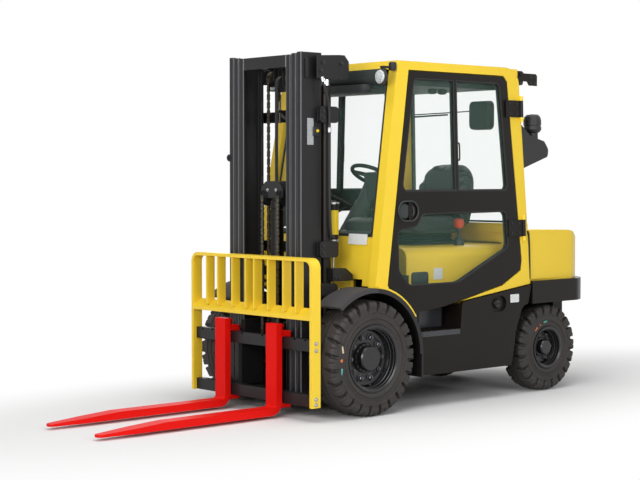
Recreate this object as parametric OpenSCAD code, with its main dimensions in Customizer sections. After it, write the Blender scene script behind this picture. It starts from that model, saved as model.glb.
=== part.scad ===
// Counterbalance lift truck with a closed cab and a three-stage mast.
// Row frame: +X towards the fork tips, +Y to the driver's left, +Z up.
// The origin is on the floor, under the middle of the truck's box.
// Sizes are millimetres. Pieces are drawn from the drive axle's centre and place() moves them.

/* [Wheels] */
// Drive axle to steer axle
wheelbase = 1700; // [1650:10:1800]
// Drive tyre radius
drive_r = 353; // [340:1:365]
// Drive tyre width
drive_w = 227; // [205:1:235]
// Width over the drive tyres
drive_out = 1290; // [1270:2:1330]
// Drive rim radius at the tyre's bead
drive_rim_r = 200; // [180:1:215]
// Steer tyre radius
steer_r = 294; // [280:1:300]
// Steer tyre width
steer_w = 175; // [160:1:180]
// Width over the steer tyres
steer_out = 1132; // [1110:2:1150]
// Steer rim radius at the tyre's bead
steer_rim_r = 137; // [125:1:145]
// Lugs round each shoulder of a drive tyre
drive_lugs = 24; // [20:4:28]
// Lugs round each shoulder of a steer tyre
steer_lugs = 20; // [16:4:24]
// Kingpin's distance from the truck's middle
kingpin_y = 345; // [335:1:350]

/* [Mast] */
// Top of the lowered mast
mast_top = 2204; // [2100:2:2300]
// Bottom of the mast rails
mast_bottom = 110; // [100:2:140]
// Front face of the mast rails
mast_front = 330; // [320:1:340]
// Depth of a mast rail
mast_d = 165; // [160:1:170]
// Half width over the outer rails
mast_half = 345; // [340:1:350]
// Width of a rail's flange
rail_w = 38; // [34:1:40]
// Sideways step from one stage to the next
rail_pitch = 50; // [48:1:52]
// Free lift cylinder's distance left of the middle
free_y = 50; // [30:1:60]
// Top of the crosshead on the free lift cylinder
crosshead_top = 1427; // [1380:1:1450]

/* [Forks and carriage] */
// Front face of the fork shanks
fork_face = 485; // [480:1:500]
// Fork blade length
fork_len = 1250; // [1000:10:1400]
// Fork width
fork_w = 100; // [90:1:125]
// Fork thickness
fork_t = 45; // [40:1:50]
// Each fork's distance from the middle
fork_y = 250; // [230:1:300]
// Top of the fork shank
shank_top = 571; // [550:1:600]
// Half width over the load backrest
rest_half = 587; // [560:1:600]
// Top of the load backrest
rest_top = 972; // [950:1:1100]
// Lower edge of the carriage's lower bar
bar_low = 90; // [85:1:100]
// Upper edge of the carriage's upper bar
bar_high = 490; // [480:1:500]

/* [Frame and counterweight] */
// Half width over the frame's sides
frame_half = 600; // [590:1:610]
// Underside of the frame
frame_low = 205; // [190:1:220]
// Floor of the cab
floor_z = 600; // [590:1:606]
// Top of the step
step_z = 482; // [440:1:500]
// Steer axle to the rear of the truck
rear_reach = 510; // [500:5:540]
// Top of the counterweight
weight_top = 1100; // [1060:2:1140]
// Joint between the counterweight and its black base
base_top = 755; // [740:1:770]
// Underside of the counterweight
base_low = 605; // [604:1:615]

/* [Cab] */
// Top of the cab
roof_z = 2172; // [2140:2:2190]
// Cab's outer face at the door's foot, set in from the frame's side
cab_inset = 10; // [0:1:20]
// Inward lean of the cab's sides, in degrees
lean = 2; // [1:0.1:2.4]
// Thickness of the cab's posts across the truck
post_t = 70; // [60:1:80]
// Door thickness
door_t = 38; // [32:1:44]
// Height of the hood's top
hood_z = 1000; // [960:2:1020]

/* [Clearances] */
// Gap at a seat where one piece rests on another
seat_gap = 0.3;
// Radial gap of a pin or shaft in its bore
pin_gap = 0.05;
// Gap round a closed door
door_gap = 6;

/* [Hidden] */
$fn = 64;
fork_tip = fork_face + fork_len;
rear_x = -wheelbase - rear_reach;
axle_x = -(fork_tip + rear_x) / 2;
axle_z = drive_r;
drive_y = (drive_out - drive_w) / 2;
side_y = frame_half - cab_inset;
steer_y = (steer_out - steer_w) / 2;
steer_x = -wheelbase;
steer_z = steer_r;
mast_back = mast_front - mast_d;
flange_t = 20;
web_t = 12;
rail_mid_x = mast_front - mast_d / 2;
roller_r = mast_d / 2 - flange_t - seat_gap;
// Drive axle tube, which also carries the mast
tube_r = 80;
// Fender over the drive wheel
fender_r = drive_r + 72;
fender_t = 15;
fender_in = drive_out / 2 - drive_w + 8;
fender_out = drive_out / 2 - 7;
// Rise of the screen line: how far it leans back for each millimetre up
rake = 0.1665;
post_x0 = -63;
post_z0 = axle_z + fender_r + 15;
side_z0 = 700;
header_z = roof_z - 55;
sill_z = 1080;
// Lift cylinders behind the outer rails
lift_r = 32;
lift_rod_r = 24;
lift_x = tube_r + 6 + lift_r;
lift_y = stage_y(1) + 5 + lift_r;
tie_x = lift_x - lift_r - 30;
tie_y = lift_y + lift_r + 2;
tie_t = 15;
// Free lift cylinder in front
free_x = mast_front - 60;
free_r = 42;
free_rod_r = 30;
// Tilt cylinders: pin on the mast, pin on the frame
tilt_y = 394;
tilt_px = 130;
tilt_pz = 770;
tilt_bx = -380;
tilt_bz = 690;
tilt_a = atan2(tilt_pz - tilt_bz, tilt_px - tilt_bx);
tilt_len = sqrt(pow(tilt_px - tilt_bx, 2) + pow(tilt_pz - tilt_bz, 2));
tilt_pin_r = 14;
tilt_eye = 34;
tilt_r = 28;
tilt_rod_r = 16;
// Steering column
column_x = -350;
column_z = 1000;
wheel_hub_x = -600;
wheel_hub_z = 1455;
column_a = atan2(wheel_hub_x - column_x, wheel_hub_z - column_z);
column_len = sqrt(pow(wheel_hub_x - column_x, 2) + pow(wheel_hub_z - column_z, 2));

frame();
side_tanks();
steps();
floor_plate();  // floor
fenders();
cowl();
cab_frame();
roof_panel();
windscreen();
rear_window();
dash();
seat();
console();
hood();
engine();
counterweight();
weight_base();
tow_block();
axle_hangers();
rear_grille();
drive_axle();
steer_axle();
work_lamps();
rear_lamps();
air_intake();
left_door();
left_door_glass();
right_door();
right_door_glass();
steering_wheel();
drive_tyre_left();
drive_rim_left();
drive_tyre_right();
drive_rim_right();
knuckle_left();
knuckle_right();
steer_tyre_left();
steer_rim_left();
steer_tyre_right();
steer_rim_right();
outer_mast();
lift_barrels();
accumulator();
middle_mast();
lift_rods();
mast_sheaves();
inner_mast();
free_lift_barrel();
mast_chains();
crosshead();
carriage();
lift_chains();
load_backrest();
left_fork();
right_fork();
tilt_barrels();
tilt_rods();

// Small shared forms

module place() {
    translate([axle_x, 0, 0]) children();
}

module flip() {
    mirror([0, 1, 0]) children();
}

module both() {
    children();
    flip() children();
}

// A box from one corner to the other
module box(a, b) {
    translate(a) cube([b[0] - a[0], b[1] - a[1], b[2] - a[2]]);
}

// A side outline, drawn as x and z, made solid from y0 to y1
module side(y0, y1) {
    translate([0, y1, 0]) rotate([90, 0, 0]) linear_extrude(height = y1 - y0) children();
}

// A front outline, drawn as y and z, made solid from x0 to x1
module front(x0, x1) {
    translate([x0, 0, 0]) rotate([90, 0, 90]) linear_extrude(height = x1 - x0) children();
}

// A round bar across the truck
module bar_y(x, z, y0, y1, r, sides = $fn) {
    translate([x, y0, z]) rotate([-90, 0, 0]) cylinder(r = r, h = y1 - y0, $fn = sides);
}

// A round bar along the truck
module bar_x(y, z, x0, x1, r) {
    translate([x0, y, z]) rotate([0, 90, 0]) cylinder(r = r, h = x1 - x0);
}

// A rounded slot outline, w long and h tall, about the origin
module oblong(w, h) {
    square([w - h, h], center = true);
    for (s = [-1, 1])
        translate([s * (w - h) / 2, 0]) circle(r = h / 2);
}

function unit(v) = v / norm(v);

// Points of the arc that rounds the corner at b, between a and c
function corner(a, b, c, r, k) =
    let (u = unit(a - b), v = unit(c - b), half = acos(u * v) / 2)
    let (mid = b + unit(u + v) * r / sin(half), run = r / tan(half))
    let (from = b + u * run - mid, to = b + v * run - mid)
    [for (i = [0:k]) mid + r * unit(from * (k - i) + to * i)];

// An outline with its corners rounded, each by its own radius
function rounded(p, r, k = 5) = [for (i = [0:len(p) - 1])
    each (r[i] == 0 ? [p[i]] : corner(p[(i + len(p) - 1) % len(p)], p[i], p[(i + 1) % len(p)], r[i], k))];

// An outline with one radius at all its corners
function softened(p, r, k = 5) = rounded(p, [for (c = p) r], k);

// The left side of the cab leans in about its foot
module leaned() {
    translate([0, side_y, side_z0]) rotate([lean, 0, 0]) translate([0, -side_y, -side_z0]) children();
}

// Distance from the middle of a face d behind the cab's outer side, at height z
function side_at(z, d) = side_y - d / cos(lean) - (z - side_z0) * tan(lean);

// Front edge of the screen posts at height z
function post_x(z) = post_x0 - (z - post_z0) * rake;

// Rear edge of the rear posts at height z
function tail_x(z) = -1412 - (roof_z - 64 - z) * 0.0589;

// Wheels and axles

// Slots between the lugs on a tyre's shoulders: width, depth, slant across the tread
// and slope to the sidewall
slot_w = 30;
slot_deep = 46;
slot_skew = 14;
slot_rake = 26;
shoulder_h = 36;
bead_h = 28;

// A tyre whose shoulder lugs are parted by slots that run out down the sidewall. A lug faces the floor.
module tyre(r, w, bead, lugs) {
    rotate([-90, 0, 0]) difference() {
        rotate_extrude($fn = lugs) polygon([
            [bead, -w / 2], [r - shoulder_h, -w / 2], [r, -w * 0.37],
            [r, w * 0.37], [r - shoulder_h, w / 2], [bead + bead_h, w / 2], [bead, w * 0.42]]);
        for (s = [0, 1], i = [0:lugs - 1])
            mirror([0, 0, s]) rotate([0, 0, (i + 0.5) * 360 / lugs]) translate([r, 0, w / 2])
                rotate([slot_skew, -slot_rake, 0]) translate([0, 0, -w * 0.3])
                    linear_extrude(height = w * 0.4)
                    polygon([[-slot_deep, 0], [12, -slot_w / 2], [12, slot_w / 2]]);
    }
}

module drive_tyre() {
    color("#2b2b2c") translate([0, drive_y, axle_z]) tyre(drive_r, drive_w, drive_rim_r + seat_gap,
        drive_lugs);
}

// A deep dished rim: rolled edge, band, coned disc, then the hub with its flange and cap,
// and a ring of nuts.
// Sizes run out from the wheel's middle plane: lip to the band's end, disc to the disc's outer face.
module rim(r, lip, disc, hub_r, hub_from, hub_to, nuts, nut_at, nut_r) {
    rotate([-90, 0, 0]) rotate_extrude() polygon([
        [r - 14, -lip], [r, -lip], [r, lip + 6], [r + 5, lip + 9], [r + 5, lip + 14], [r - 4, lip + 16],
        [r - 14, lip + 10], [r - 16, lip - 12], [r - 22, disc + 26], [r - 34, disc + 4], [r - 52, disc],
        [hub_r - 5, disc], [hub_r - 5, disc - 18], [r - 44, disc - 18], [r - 14, disc - 6]]);
    rotate([-90, 0, 0]) rotate_extrude() polygon([
        [0, hub_from], [hub_r, hub_from], [hub_r, disc + 6], [hub_r - 4, disc + 12],
        [hub_r - 14, disc + 14],
        [hub_r - 14, hub_to - 8], [hub_r - 20, hub_to], [0, hub_to]]);
    for (i = [0:nuts - 1])
        rotate([0, i * 360 / nuts, 0]) {
            bar_y(nut_at, 0, disc - 1, disc + nut_r * 1.3, nut_r, 6);
            bar_y(nut_at, 0, disc - 1, disc + nut_r * 2, nut_r / 2);
        }
}

module drive_rim() {
    color("#1f2022") translate([0, drive_y, axle_z]) difference() {
        rim(drive_rim_r, drive_w * 0.42, 26, 92, hub_in - drive_y, 84, 10, 128, 15);
        bar_y(0, 0, hub_in - drive_y - 1, 70, spindle_r + pin_gap);
    }
}

hub_in = drive_y - drive_w / 2 - 6;
spindle_r = 45;

module drive_tyre_left() {
    place() drive_tyre();
}

module drive_rim_left() {
    place() drive_rim();
}

module drive_tyre_right() {
    place() flip() drive_tyre();
}

module drive_rim_right() {
    place() flip() drive_rim();
}

// Housing with the gear case in its middle, the drive shaft's nose, and a spindle for each wheel
module drive_axle() {
    color("#26272a") place() translate([0, 0, axle_z]) union() {
        rotate([-90, 0, 0]) rotate_extrude() polygon([
            [0, 8 - hub_in], [tube_r, 8 - hub_in], [tube_r, -case_half - 70], [case_r - 12, -case_half],
            [case_r, 20 - case_half],
            [case_r, case_half - 20], [case_r - 12, case_half], [tube_r, case_half + 70],
            [tube_r, hub_in - 8], [0, hub_in - 8]]);
        translate([-nose_x, 0, 0]) rotate([0, 90, 0]) cylinder(r1 = 62, r2 = 105, h = nose_x - 40);
        both() bar_y(0, 0, hub_in - 18, hub_in - seat_gap, 112);
        both() bar_y(0, 0, hub_in - 20, drive_y + 60, spindle_r);
    }
}

// Gear case and shaft nose of the drive axle
case_half = 120;
case_r = 150;
nose_x = 250;

module steer_tyre() {
    color("#2b2b2c") translate([steer_x, steer_y, steer_z])
        tyre(steer_r, steer_w, steer_rim_r + seat_gap, steer_lugs);
}

steer_hub_in = kingpin_y + 50;
steer_spindle_r = 30;
steer_pin_r = 17;

module steer_rim() {
    color("#1f2022") translate([steer_x, steer_y, steer_z]) difference() {
        rim(steer_rim_r, steer_w * 0.42, 16, 66, steer_hub_in - steer_y, 74, 6, 92, 12);
        bar_y(0, 0, steer_hub_in - steer_y - 1, 60, steer_spindle_r + pin_gap);
    }
}

module steer_tyre_left() {
    place() steer_tyre();
}

module steer_rim_left() {
    place() steer_rim();
}

module steer_tyre_right() {
    place() flip() steer_tyre();
}

module steer_rim_right() {
    place() flip() steer_rim();
}

lug_t = 31;
beam_h = 140;
knuckle_h = 118;

module steer_axle() {
    color("#26272a") place() translate([steer_x, 0, steer_z]) union() {
        translate([0, 0, -beam_h / 2]) linear_extrude(height = beam_h) polygon(rounded([
            [-70, -120], [-40, -300], [40, -300], [70, -120],
            [70, 120], [40, 300], [-40, 300], [-70, 120]], [120, 0, 0, 120, 120, 0, 0, 120]));
        bar_x(0, 0, -140, 140, 40);
        both() for (s = [-1, 1])
            translate([0, 0, s * (knuckle_h / 2 + seat_gap + lug_t / 2)]) {
                translate([-40, 280, -lug_t / 2]) cube([80, kingpin_y - 280, lug_t]);
                translate([0, kingpin_y, -lug_t / 2]) cylinder(r = 40, h = lug_t);
            }
        both() translate([0, kingpin_y, -knuckle_h / 2 - lug_t])
            cylinder(r = steer_pin_r, h = knuckle_h + 2 * lug_t);
    }
}

module knuckle() {
    color("#3a3b3e") translate([steer_x, 0, steer_z]) difference() {
        union() {
            translate([0, kingpin_y, -knuckle_h / 2]) cylinder(r = 38, h = knuckle_h);
            bar_y(0, 0, kingpin_y + 20, steer_hub_in - seat_gap, 45);
            bar_y(0, 0, kingpin_y + 20, steer_y + 50, steer_spindle_r);
        }
        translate([0, kingpin_y, -knuckle_h / 2 - 1]) cylinder(r = steer_pin_r + pin_gap,
            h = knuckle_h + 2);
    }
}

module knuckle_left() {
    place() knuckle();
}

module knuckle_right() {
    place() flip() knuckle();
}

// Frame, counterweight and engine

rail_y0 = 215;
rail_y1 = 250;
panel_t = 25;
tank_front = -fender_r - seat_gap;
step_end = -800;
tank_back = -1318;

// Inner wall of the step's recess
step_d = 160;
riser_y = frame_half - step_d;
riser_t = 10;
plate_t = 18;
tread_t = 14;

// Set-in of the side panel's foot below its crease, and the crease's height
foot_in = 15;
crease_z = 400;
// Filler cap in its recess on the left side
filler_x = -1160;
filler_z = 622;
filler_r = 34;

// Outer panel, floor and end plates of a side tank
module side_tank() {
    difference() {
        side(frame_half - panel_t, frame_half) polygon(rounded([
            [tank_front, frame_low], [tank_back + 8, frame_low], [tank_back - 12, 430],
            [-1400, base_low - 8],
            [-1453, base_low + 1], [-1489, base_top - 22], [step_end - 18, floor_z + 51],
            [step_end, step_z],
            [tank_front, step_z]], [0, 30, 60, 60, 20, 0, 30, 0, 0]));
        // The foot slopes in below the crease
        front(tank_back - 300, tank_front + 1) polygon([
            [frame_half + 1, crease_z], [frame_half + 1, frame_low - 1],
            [frame_half - foot_in, frame_low - 1],
            [frame_half, crease_z]]);
    }
    box([tank_back, rail_y1, frame_low], [tank_front, frame_half - panel_t + 1, frame_low + plate_t]);
    box([tank_front - plate_t, rail_y1, frame_low], [tank_front, frame_half - panel_t + 1,
        step_z - tread_t]);
    box([tank_back + 10, rail_y1, frame_low], [tank_back + 10 + plate_t, frame_half - panel_t + 1,
        floor_z]);
}

module side_tanks() {
    color("#1d1e20") place() union() {
        flip() side_tank();
        difference() {
            side_tank();
            side(frame_half - 16, frame_half + 1) translate([filler_x, filler_z]) oblong(150, 104);
        }
        translate([filler_x, frame_half - 17, filler_z]) rotate([-90, 0, 0]) rotate_extrude() polygon([
            [0, 0], [filler_r, 0], [filler_r, 8], [filler_r - 4, 14], [0, 14]]);
        side(frame_half - 5, frame_half - 1) translate([filler_x, filler_z])
            square([2 * filler_r - 8, 10], center = true);
    }
}

// Tread, inner wall and back plate of each step
module steps() {
    color("#1d1e20") place() both() union() {
        box([step_end - tread_t, rail_y1, step_z - tread_t], [tank_front, frame_half - panel_t, step_z]);
        box([step_end, riser_y - riser_t, step_z - 1], [tank_front - plate_t, riser_y,
            floor_z - seat_gap]);
        // Back plate, which leans with the panel's edge
        side(riser_y - riser_t, frame_half - panel_t) polygon([
            [step_end, step_z - 1], [step_end - 18, floor_z + 22],
            [step_end - 18 - tread_t, floor_z + 22],
            [step_end - tread_t, step_z - 1]]);
        box([tank_back, riser_y, floor_z + 22], [step_end - 18, frame_half - panel_t, floor_z + 40]);
        // Grip bars on the tread
        for (i = [1:grip_bars])
            translate([step_end + i * (tank_front - plate_t - step_end) / (grip_bars + 1), 0, step_z - 1])
                linear_extrude(height = 4) polygon([
                    [-24, riser_y + 12], [-14, riser_y + 12], [24, frame_half - panel_t - 10],
                    [14, frame_half - panel_t - 10]]);
    }
}

grip_bars = 7;

// Main rail with its axle saddle, and the ears for a tilt cylinder
module frame_side() {
    difference() {
        union() {
            side(rail_y0, rail_y1) polygon([
                [80, axle_z - 40], [80, axle_z + 140], [20, floor_z - 4], [tank_back, floor_z - 4],
                [tank_back, frame_low], [tank_front, frame_low], [-120, axle_z - 40]]);
            bar_y(0, axle_z, rail_y0, rail_y1, 125);
        }
        bar_y(0, axle_z, rail_y0 - 1, rail_y1 + 1, tube_r + seat_gap);
    }
    for (y = [tilt_y - tilt_eye / 2 - 13, tilt_y + tilt_eye / 2 + 1]) {
        box([tank_front - plate_t, y, step_z], [tilt_bx, y + 12, tilt_bz + 30]);
        bar_y(tilt_bx, tilt_bz, y, y + 12, 30);
    }
    bar_y(tilt_bx, tilt_bz, tilt_y - tilt_eye / 2 - 13, tilt_y + tilt_eye / 2 + 13, tilt_pin_r);
    box([tank_front - plate_t, rail_y0, step_z], [tank_front, tilt_y + tilt_eye / 2 + 13, floor_z - 4]);
}

module frame() {
    color("#1d1e20") place() union() {
        both() frame_side();
        // Deck ahead of the counterweight
        box([-1489, panel_t - frame_half, floor_z + 10], [tank_back, frame_half - panel_t, floor_z + 40]);
        both() box([tank_back - 1, rail_y0, floor_z - 30], [tank_back + 30, rail_y1, floor_z + 20]);
        // Cross plate behind the drive axle
        box([-330, -rail_y0 - 1, axle_z + 60], [-300, rail_y0 + 1, floor_z - 4]);
        box([tank_back, -rail_y0 - 1, 300], [tank_back + 30, rail_y0 + 1, 460]);
    }
}

module floor_plate() {
    color("#232427") place() difference() {
        union() {
            box([hood_x0 + seat_gap, -tunnel_y0, floor_z], [post_x0 - 60, tunnel_y0, floor_z + 14]);
            both() box([hood_x0 + seat_gap, tunnel_y0, floor_z],
                [post_x0 - 60, side_y - door_t - 14, tilt_top]);
        }
        both() box([hood_x0 + 10, tunnel_y0 + 10, floor_z - 1], [0, tunnel_y1 - 10, tilt_top - 10]);
        both() box([hood_x0 - 1, tunnel_y1, floor_z + 14], [0, side_y, tilt_top + 1]);
        both() bar_y(0, axle_z, fender_in - 30, side_y, fender_r + 22);
    }
}

tunnel_y0 = tilt_y - 54;
tunnel_y1 = tilt_y + 58;
tilt_top = 830;
hood_x0 = -480;
hood_x1 = -1440;

module ring_part(y0, y1, r0, r1, a0, a1) {
    // Part of a ring about the drive axle, between two angles from the front
    translate([0, y1, axle_z]) rotate([90, 0, 0]) linear_extrude(height = y1 - y0) intersection() {
        difference() {
            circle(r = r1);
            circle(r = r0);
        }
        polygon([[0, 0], [900 * cos(a0), 900 * sin(a0)],
            [900 * cos((a0 + a1) / 2), 900 * sin((a0 + a1) / 2)], [900 * cos(a1), 900 * sin(a1)]]);
    }
}

// A fender with a turned edge along its outside, and its rear apron
module fenders() {
    color("#222325") place() both() union() {
        ring_part(fender_in, fender_out, fender_r - fender_t, fender_r, fender_a, 180);
        ring_part(fender_out - 14, fender_out, fender_r - fender_t - 12, fender_r, fender_a, 180);
        side(fender_in, fender_out) polygon(rounded([
            [-fender_r, axle_z + 0.01], [-fender_r, frame_low], [-fender_r + fender_t, frame_low],
            [-fender_r + fender_t, axle_z + 0.01]], [0, 7, 7, 0]));
    }
}

// Angle from the front at which a fender starts
fender_a = 50;

// Engine, as one plain block between the main rails
module engine() {
    color("#4a4b4d") place() union() {
        box([tank_back + 68, seat_gap - rail_y0, 380], [hood_x0 - 80, rail_y0 - seat_gap, 880]);
    }
}

hood_half = 430;
hood_t = 12;

module hood_form(g) {
    front(hood_x1 + g, hood_x0 - g) polygon(rounded([
        [-hood_half + g, floor_z + 40 + seat_gap], [hood_half - g, floor_z + 40 + seat_gap],
        [hood_half - g, hood_z - g], [-hood_half + g, hood_z - g]], [0, 0, hood_r - g, hood_r - g], 8));
}

// Radius along the hood's upper edges
hood_r = 70;

module hood() {
    color("#f0b821") place() difference() {
        hood_form(0);
        translate([0, 0, -hood_t]) hood_form(hood_t);
        box([hood_x1 - 1, 60 - hood_half, floor_z + 40], [hood_x1 + 40, hood_half - 60, hood_z - 90]);
    }
}

weight_x0 = -1490;

// Plan of the counterweight, grown by g all round
module weight_plan(g) {
    polygon(rounded([
        [weight_x0, -side_y + 10 - g], [-1960 - g, -side_y + 28 - g], [-2070 - g, -500 - g],
        [rear_x + 30 - g, -330 - g], [rear_x + 30 - g, 330 + g],
        [-2070 - g, 500 + g], [-1960 - g, side_y - 28 + g], [weight_x0, side_y - 10 + g]],
        [0, 120, 150, 180, 180, 150, 120, 0], 6));
}

module counterweight() {
    color("#f0b821") place() difference() {
        intersection() {
            translate([0, 0, base_top]) linear_extrude(height = weight_top - base_top) weight_plan(0);
            side(-frame_half - 100, frame_half + 100) polygon(rounded([
                [weight_x0, base_top], [weight_x0, weight_top], [-1950, weight_top - 11],
                [rear_x + 60, weight_top - 110], [rear_x + 29, base_top]], [0, 20, 260, 110, 0], 7));
        }
        // Radiator room and the air way out at the back
        box([-1800, -320, base_top - 1], [weight_x0 + 1, 320, weight_top - 90]);
        box([rear_x - 1, -240, base_top + 60], [-1799, 240, weight_top - 140]);
        // Room above the tow pin
        front(rear_x - 1, rear_x + 110) polygon(rounded([
            [-45, base_top - 1], [45, base_top - 1], [45, base_top + 45], [-45, base_top + 45]],
            [0, 0, 25, 25]));
        // Hole for the lifting eye
        both() translate([-1850, 430, weight_top - 120]) cylinder(r = lift_hole_r, h = 200);
        // Shadow line round the sides above the base
        both() side(side_y - 22, side_y + 40) polygon([
            [weight_x0 + 1, base_top - 1], [weight_x0 + 1, base_top + 10], [-1930, base_top + 10],
            [-1930, base_top - 1]]);
    }
}

lift_hole_r = 22;
tow_pin_r = 16;
tow_pin_x = rear_x + 62;
// Tow block under the rear of the base, with its jaw
tow_low = 330;
jaw_low = base_low - 150;
jaw_high = base_low - 70;
jaw_half = 70;

module weight_base() {
    color("#1d1e20") place() difference() {
        intersection() {
            translate([0, 0, base_low]) linear_extrude(height = base_top - base_low) weight_plan(28);
            side(-frame_half - 100, frame_half + 100) polygon([
                [weight_x0 + 35, base_low], [weight_x0, base_top - 17], [weight_x0, base_top],
                [rear_x, base_top], [rear_x, base_low + 30], [rear_x + 20, base_low]]);
        }
        translate([tow_pin_x, 0, base_low - 1]) cylinder(r = tow_pin_r, h = base_top - base_low + 2);
    }
}

module tow_block() {
    color("#1d1e20") place() difference() {
        front(rear_x + 30, rear_x + 130) polygon(rounded([
            [-290, base_low], [-290, tow_low + 90], [-180, tow_low], [180, tow_low], [290, tow_low + 90],
            [290, base_low]],
            [0, 30, 60, 60, 30, 0]));
        box([rear_x - 1, -jaw_half, jaw_low], [rear_x + 90, jaw_half, jaw_high]);
        translate([tow_pin_x, 0, tow_low - 1]) cylinder(r = tow_pin_r, h = base_low - tow_low + 2);
    }
}

// Hangers that carry the steer axle's pivot
module axle_hangers() {
    color("#26272a") place() difference() {
        for (x = [steer_x - 130, steer_x + 100])
            front(x, x + 30) {
                polygon([[-90, base_low], [-62, steer_z], [62, steer_z], [90, base_low]]);
                translate([0, steer_z]) circle(r = 62);
            }
        bar_x(0, steer_z, steer_x - 150, steer_x + 150, 40 + seat_gap);
    }
}

// Back plate and sloping slats in the air way
module rear_grille() {
    color("#161718") place() union() {
        box([-1850, -240 + seat_gap, base_top + 60 + seat_gap],
            [-1840, 240 - seat_gap, weight_top - 140 - seat_gap]);
        side(seat_gap - 240, 240 - seat_gap) for (i = [0:slats - 1])
            translate([0, base_top + 72 + i * slat_pitch])
                polygon([[-1849, 14], [-1930, 0], [-1930, 7], [-1849, 21]]);
        for (y = [-120, 0, 120])
            box([-1926, y - 4, base_top + 60 + seat_gap], [-1849, y + 4, weight_top - 140 - seat_gap]);
    }
}

slats = 5;
slat_pitch = 24;

// Cab

// Outline that the door fills, grown by g
module door_outline(g) {
    offset(delta = g) polygon(concat(
        [[post_x(header_z - 5) - 108, header_z - 5], [post_x(790) - 108, 790]],
        [for (a = [114:4:146]) [(fender_r + 25) * cos(a), axle_z + (fender_r + 25) * sin(a)]],
        [[-400, floor_z + 6], [-656, floor_z + 32], [-1210, 745], [-1390, 835], [-1402, 900],
        [-1294, header_z - 40], [-1262, header_z - 5]]));
}

module cab_side() {
    leaned() difference() {
        side(side_y - post_t, side_y) difference() {
            polygon(rounded([
                [post_x(post_z0), post_z0], [post_x(roof_z), roof_z], [-1314, roof_z + 2],
                [-1412, roof_z - 64],
                [tail_x(1296), 1296], [-1489, base_top - 16], [step_end, floor_z + 57],
                [-656, floor_z + 45],
                [-420, floor_z + 40], [-330, axle_z + 270], [post_x0, axle_z + fender_r - 30]],
                [0, 34, 60, 60, 200, 0, 0, 0, 0, 0, 0]));
            door_outline(door_gap);
        }
    }
}

module cab_frame() {
    color("#f0b821") place() union() {
        difference() {
            union() {
                both() cab_side();
                both() leaned() post_hinges();
            }
            both() bar_y(0, axle_z, side_y / 2, 2 * side_y, fender_r + 2 * seat_gap);
        }
        // Lip over the fender
        both() ring_part(side_y - 60, side_y + 8, fender_r + 2 * seat_gap, fender_r + 15, 97, 146);
        // Header over the screen, roof's rear rail and the rail under the rear window
        intersection() {
            union() {
                side(-frame_half, frame_half) polygon([
                    [post_x(header_z), header_z], [post_x(roof_z), roof_z],
                    [post_x(roof_z) - 60, roof_z], [post_x(header_z) - 60, header_z]]);
                box([-1408, -frame_half, header_z], [-1340, frame_half, roof_z - 6]);
                box([-1478, -frame_half, sill_z], [-1440, frame_half, sill_z + 60]);
            }
            front(-3000, 1000) polygon([
                [-side_at(700, 5), 700], [side_at(700, 5), 700], [side_at(2300, 5), 2300],
                [-side_at(2300, 5), 2300]]);
        }
    }
}

// Everything between the posts at a distance d from the cab's outer side
module between(d) {
    intersection() {
        children();
        front(-3000, 1000) polygon([
            [-side_at(400, d), 400], [side_at(400, d), 400], [side_at(2300, d), 2300],
            [-side_at(2300, d), 2300]]);
    }
}

module roof_panel() {
    color("#2a2c2e") place() between(post_t + seat_gap) union() {
        box([-1340 + seat_gap, -frame_half, roof_z - 46], [post_x(roof_z) - 60 - seat_gap, frame_half,
            roof_z - 8]);
        // Stiffening ribs along the roof
        for (y = [-330, -200, -70, 70, 200, 330])
            side(y - 18, y + 18) polygon([
                [-1300, roof_z - 9], [-1285, roof_z - 2], [post_x(roof_z) - 115, roof_z - 2],
                [post_x(roof_z) - 100, roof_z - 9]]);
    }
}

module windscreen() {
    color([0.35, 0.55, 0.5, 0.4]) place() between(post_t + seat_gap) side(-frame_half, frame_half)
        polygon([
        [post_x(sill_z) - 24, sill_z], [post_x(header_z) - 24, header_z - seat_gap],
        [post_x(header_z) - 33, header_z - seat_gap], [post_x(sill_z) - 33, sill_z]]);
}

module rear_window() {
    color([0.35, 0.55, 0.5, 0.4]) place() between(post_t + seat_gap) side(-frame_half, frame_half)
        polygon([
        [tail_x(sill_z + 60) + 24, sill_z + 60 + seat_gap], [tail_x(header_z) + 24, header_z - seat_gap],
        [tail_x(header_z) + 33, header_z - seat_gap], [tail_x(sill_z + 60) + 33,
        sill_z + 60 + seat_gap]]);
}

module cowl() {
    color("#f0b821") place() difference() {
        between(post_t + seat_gap) side(-frame_half, frame_half) polygon([
            [post_x(post_z0) - 20, floor_z], [post_x(post_z0) - 20, post_z0],
            [post_x(sill_z) - 10, sill_z - seat_gap],
            [post_x(sill_z) - 50, sill_z - seat_gap], [post_x(post_z0) - 38, post_z0],
            [post_x(post_z0) - 38, floor_z]]);
        both() box([-200, tunnel_y0 + 10, floor_z - 1], [0, tunnel_y1 - 10, tilt_top - 10]);
        both() bar_y(0, axle_z, fender_in - 30, side_y + 40, fender_r + seat_gap);
        both() box([-200, 420, floor_z - 1], [0, side_y, axle_z + fender_r + 1]);
    }
}

// Rear face of the cowl, with its seat gap, at height z
function cowl_in(z) = post_x(post_z0) - 38 - seat_gap
    + (post_x(sill_z) - 12 - post_x(post_z0)) * (z - post_z0) / (sill_z - post_z0);

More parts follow.
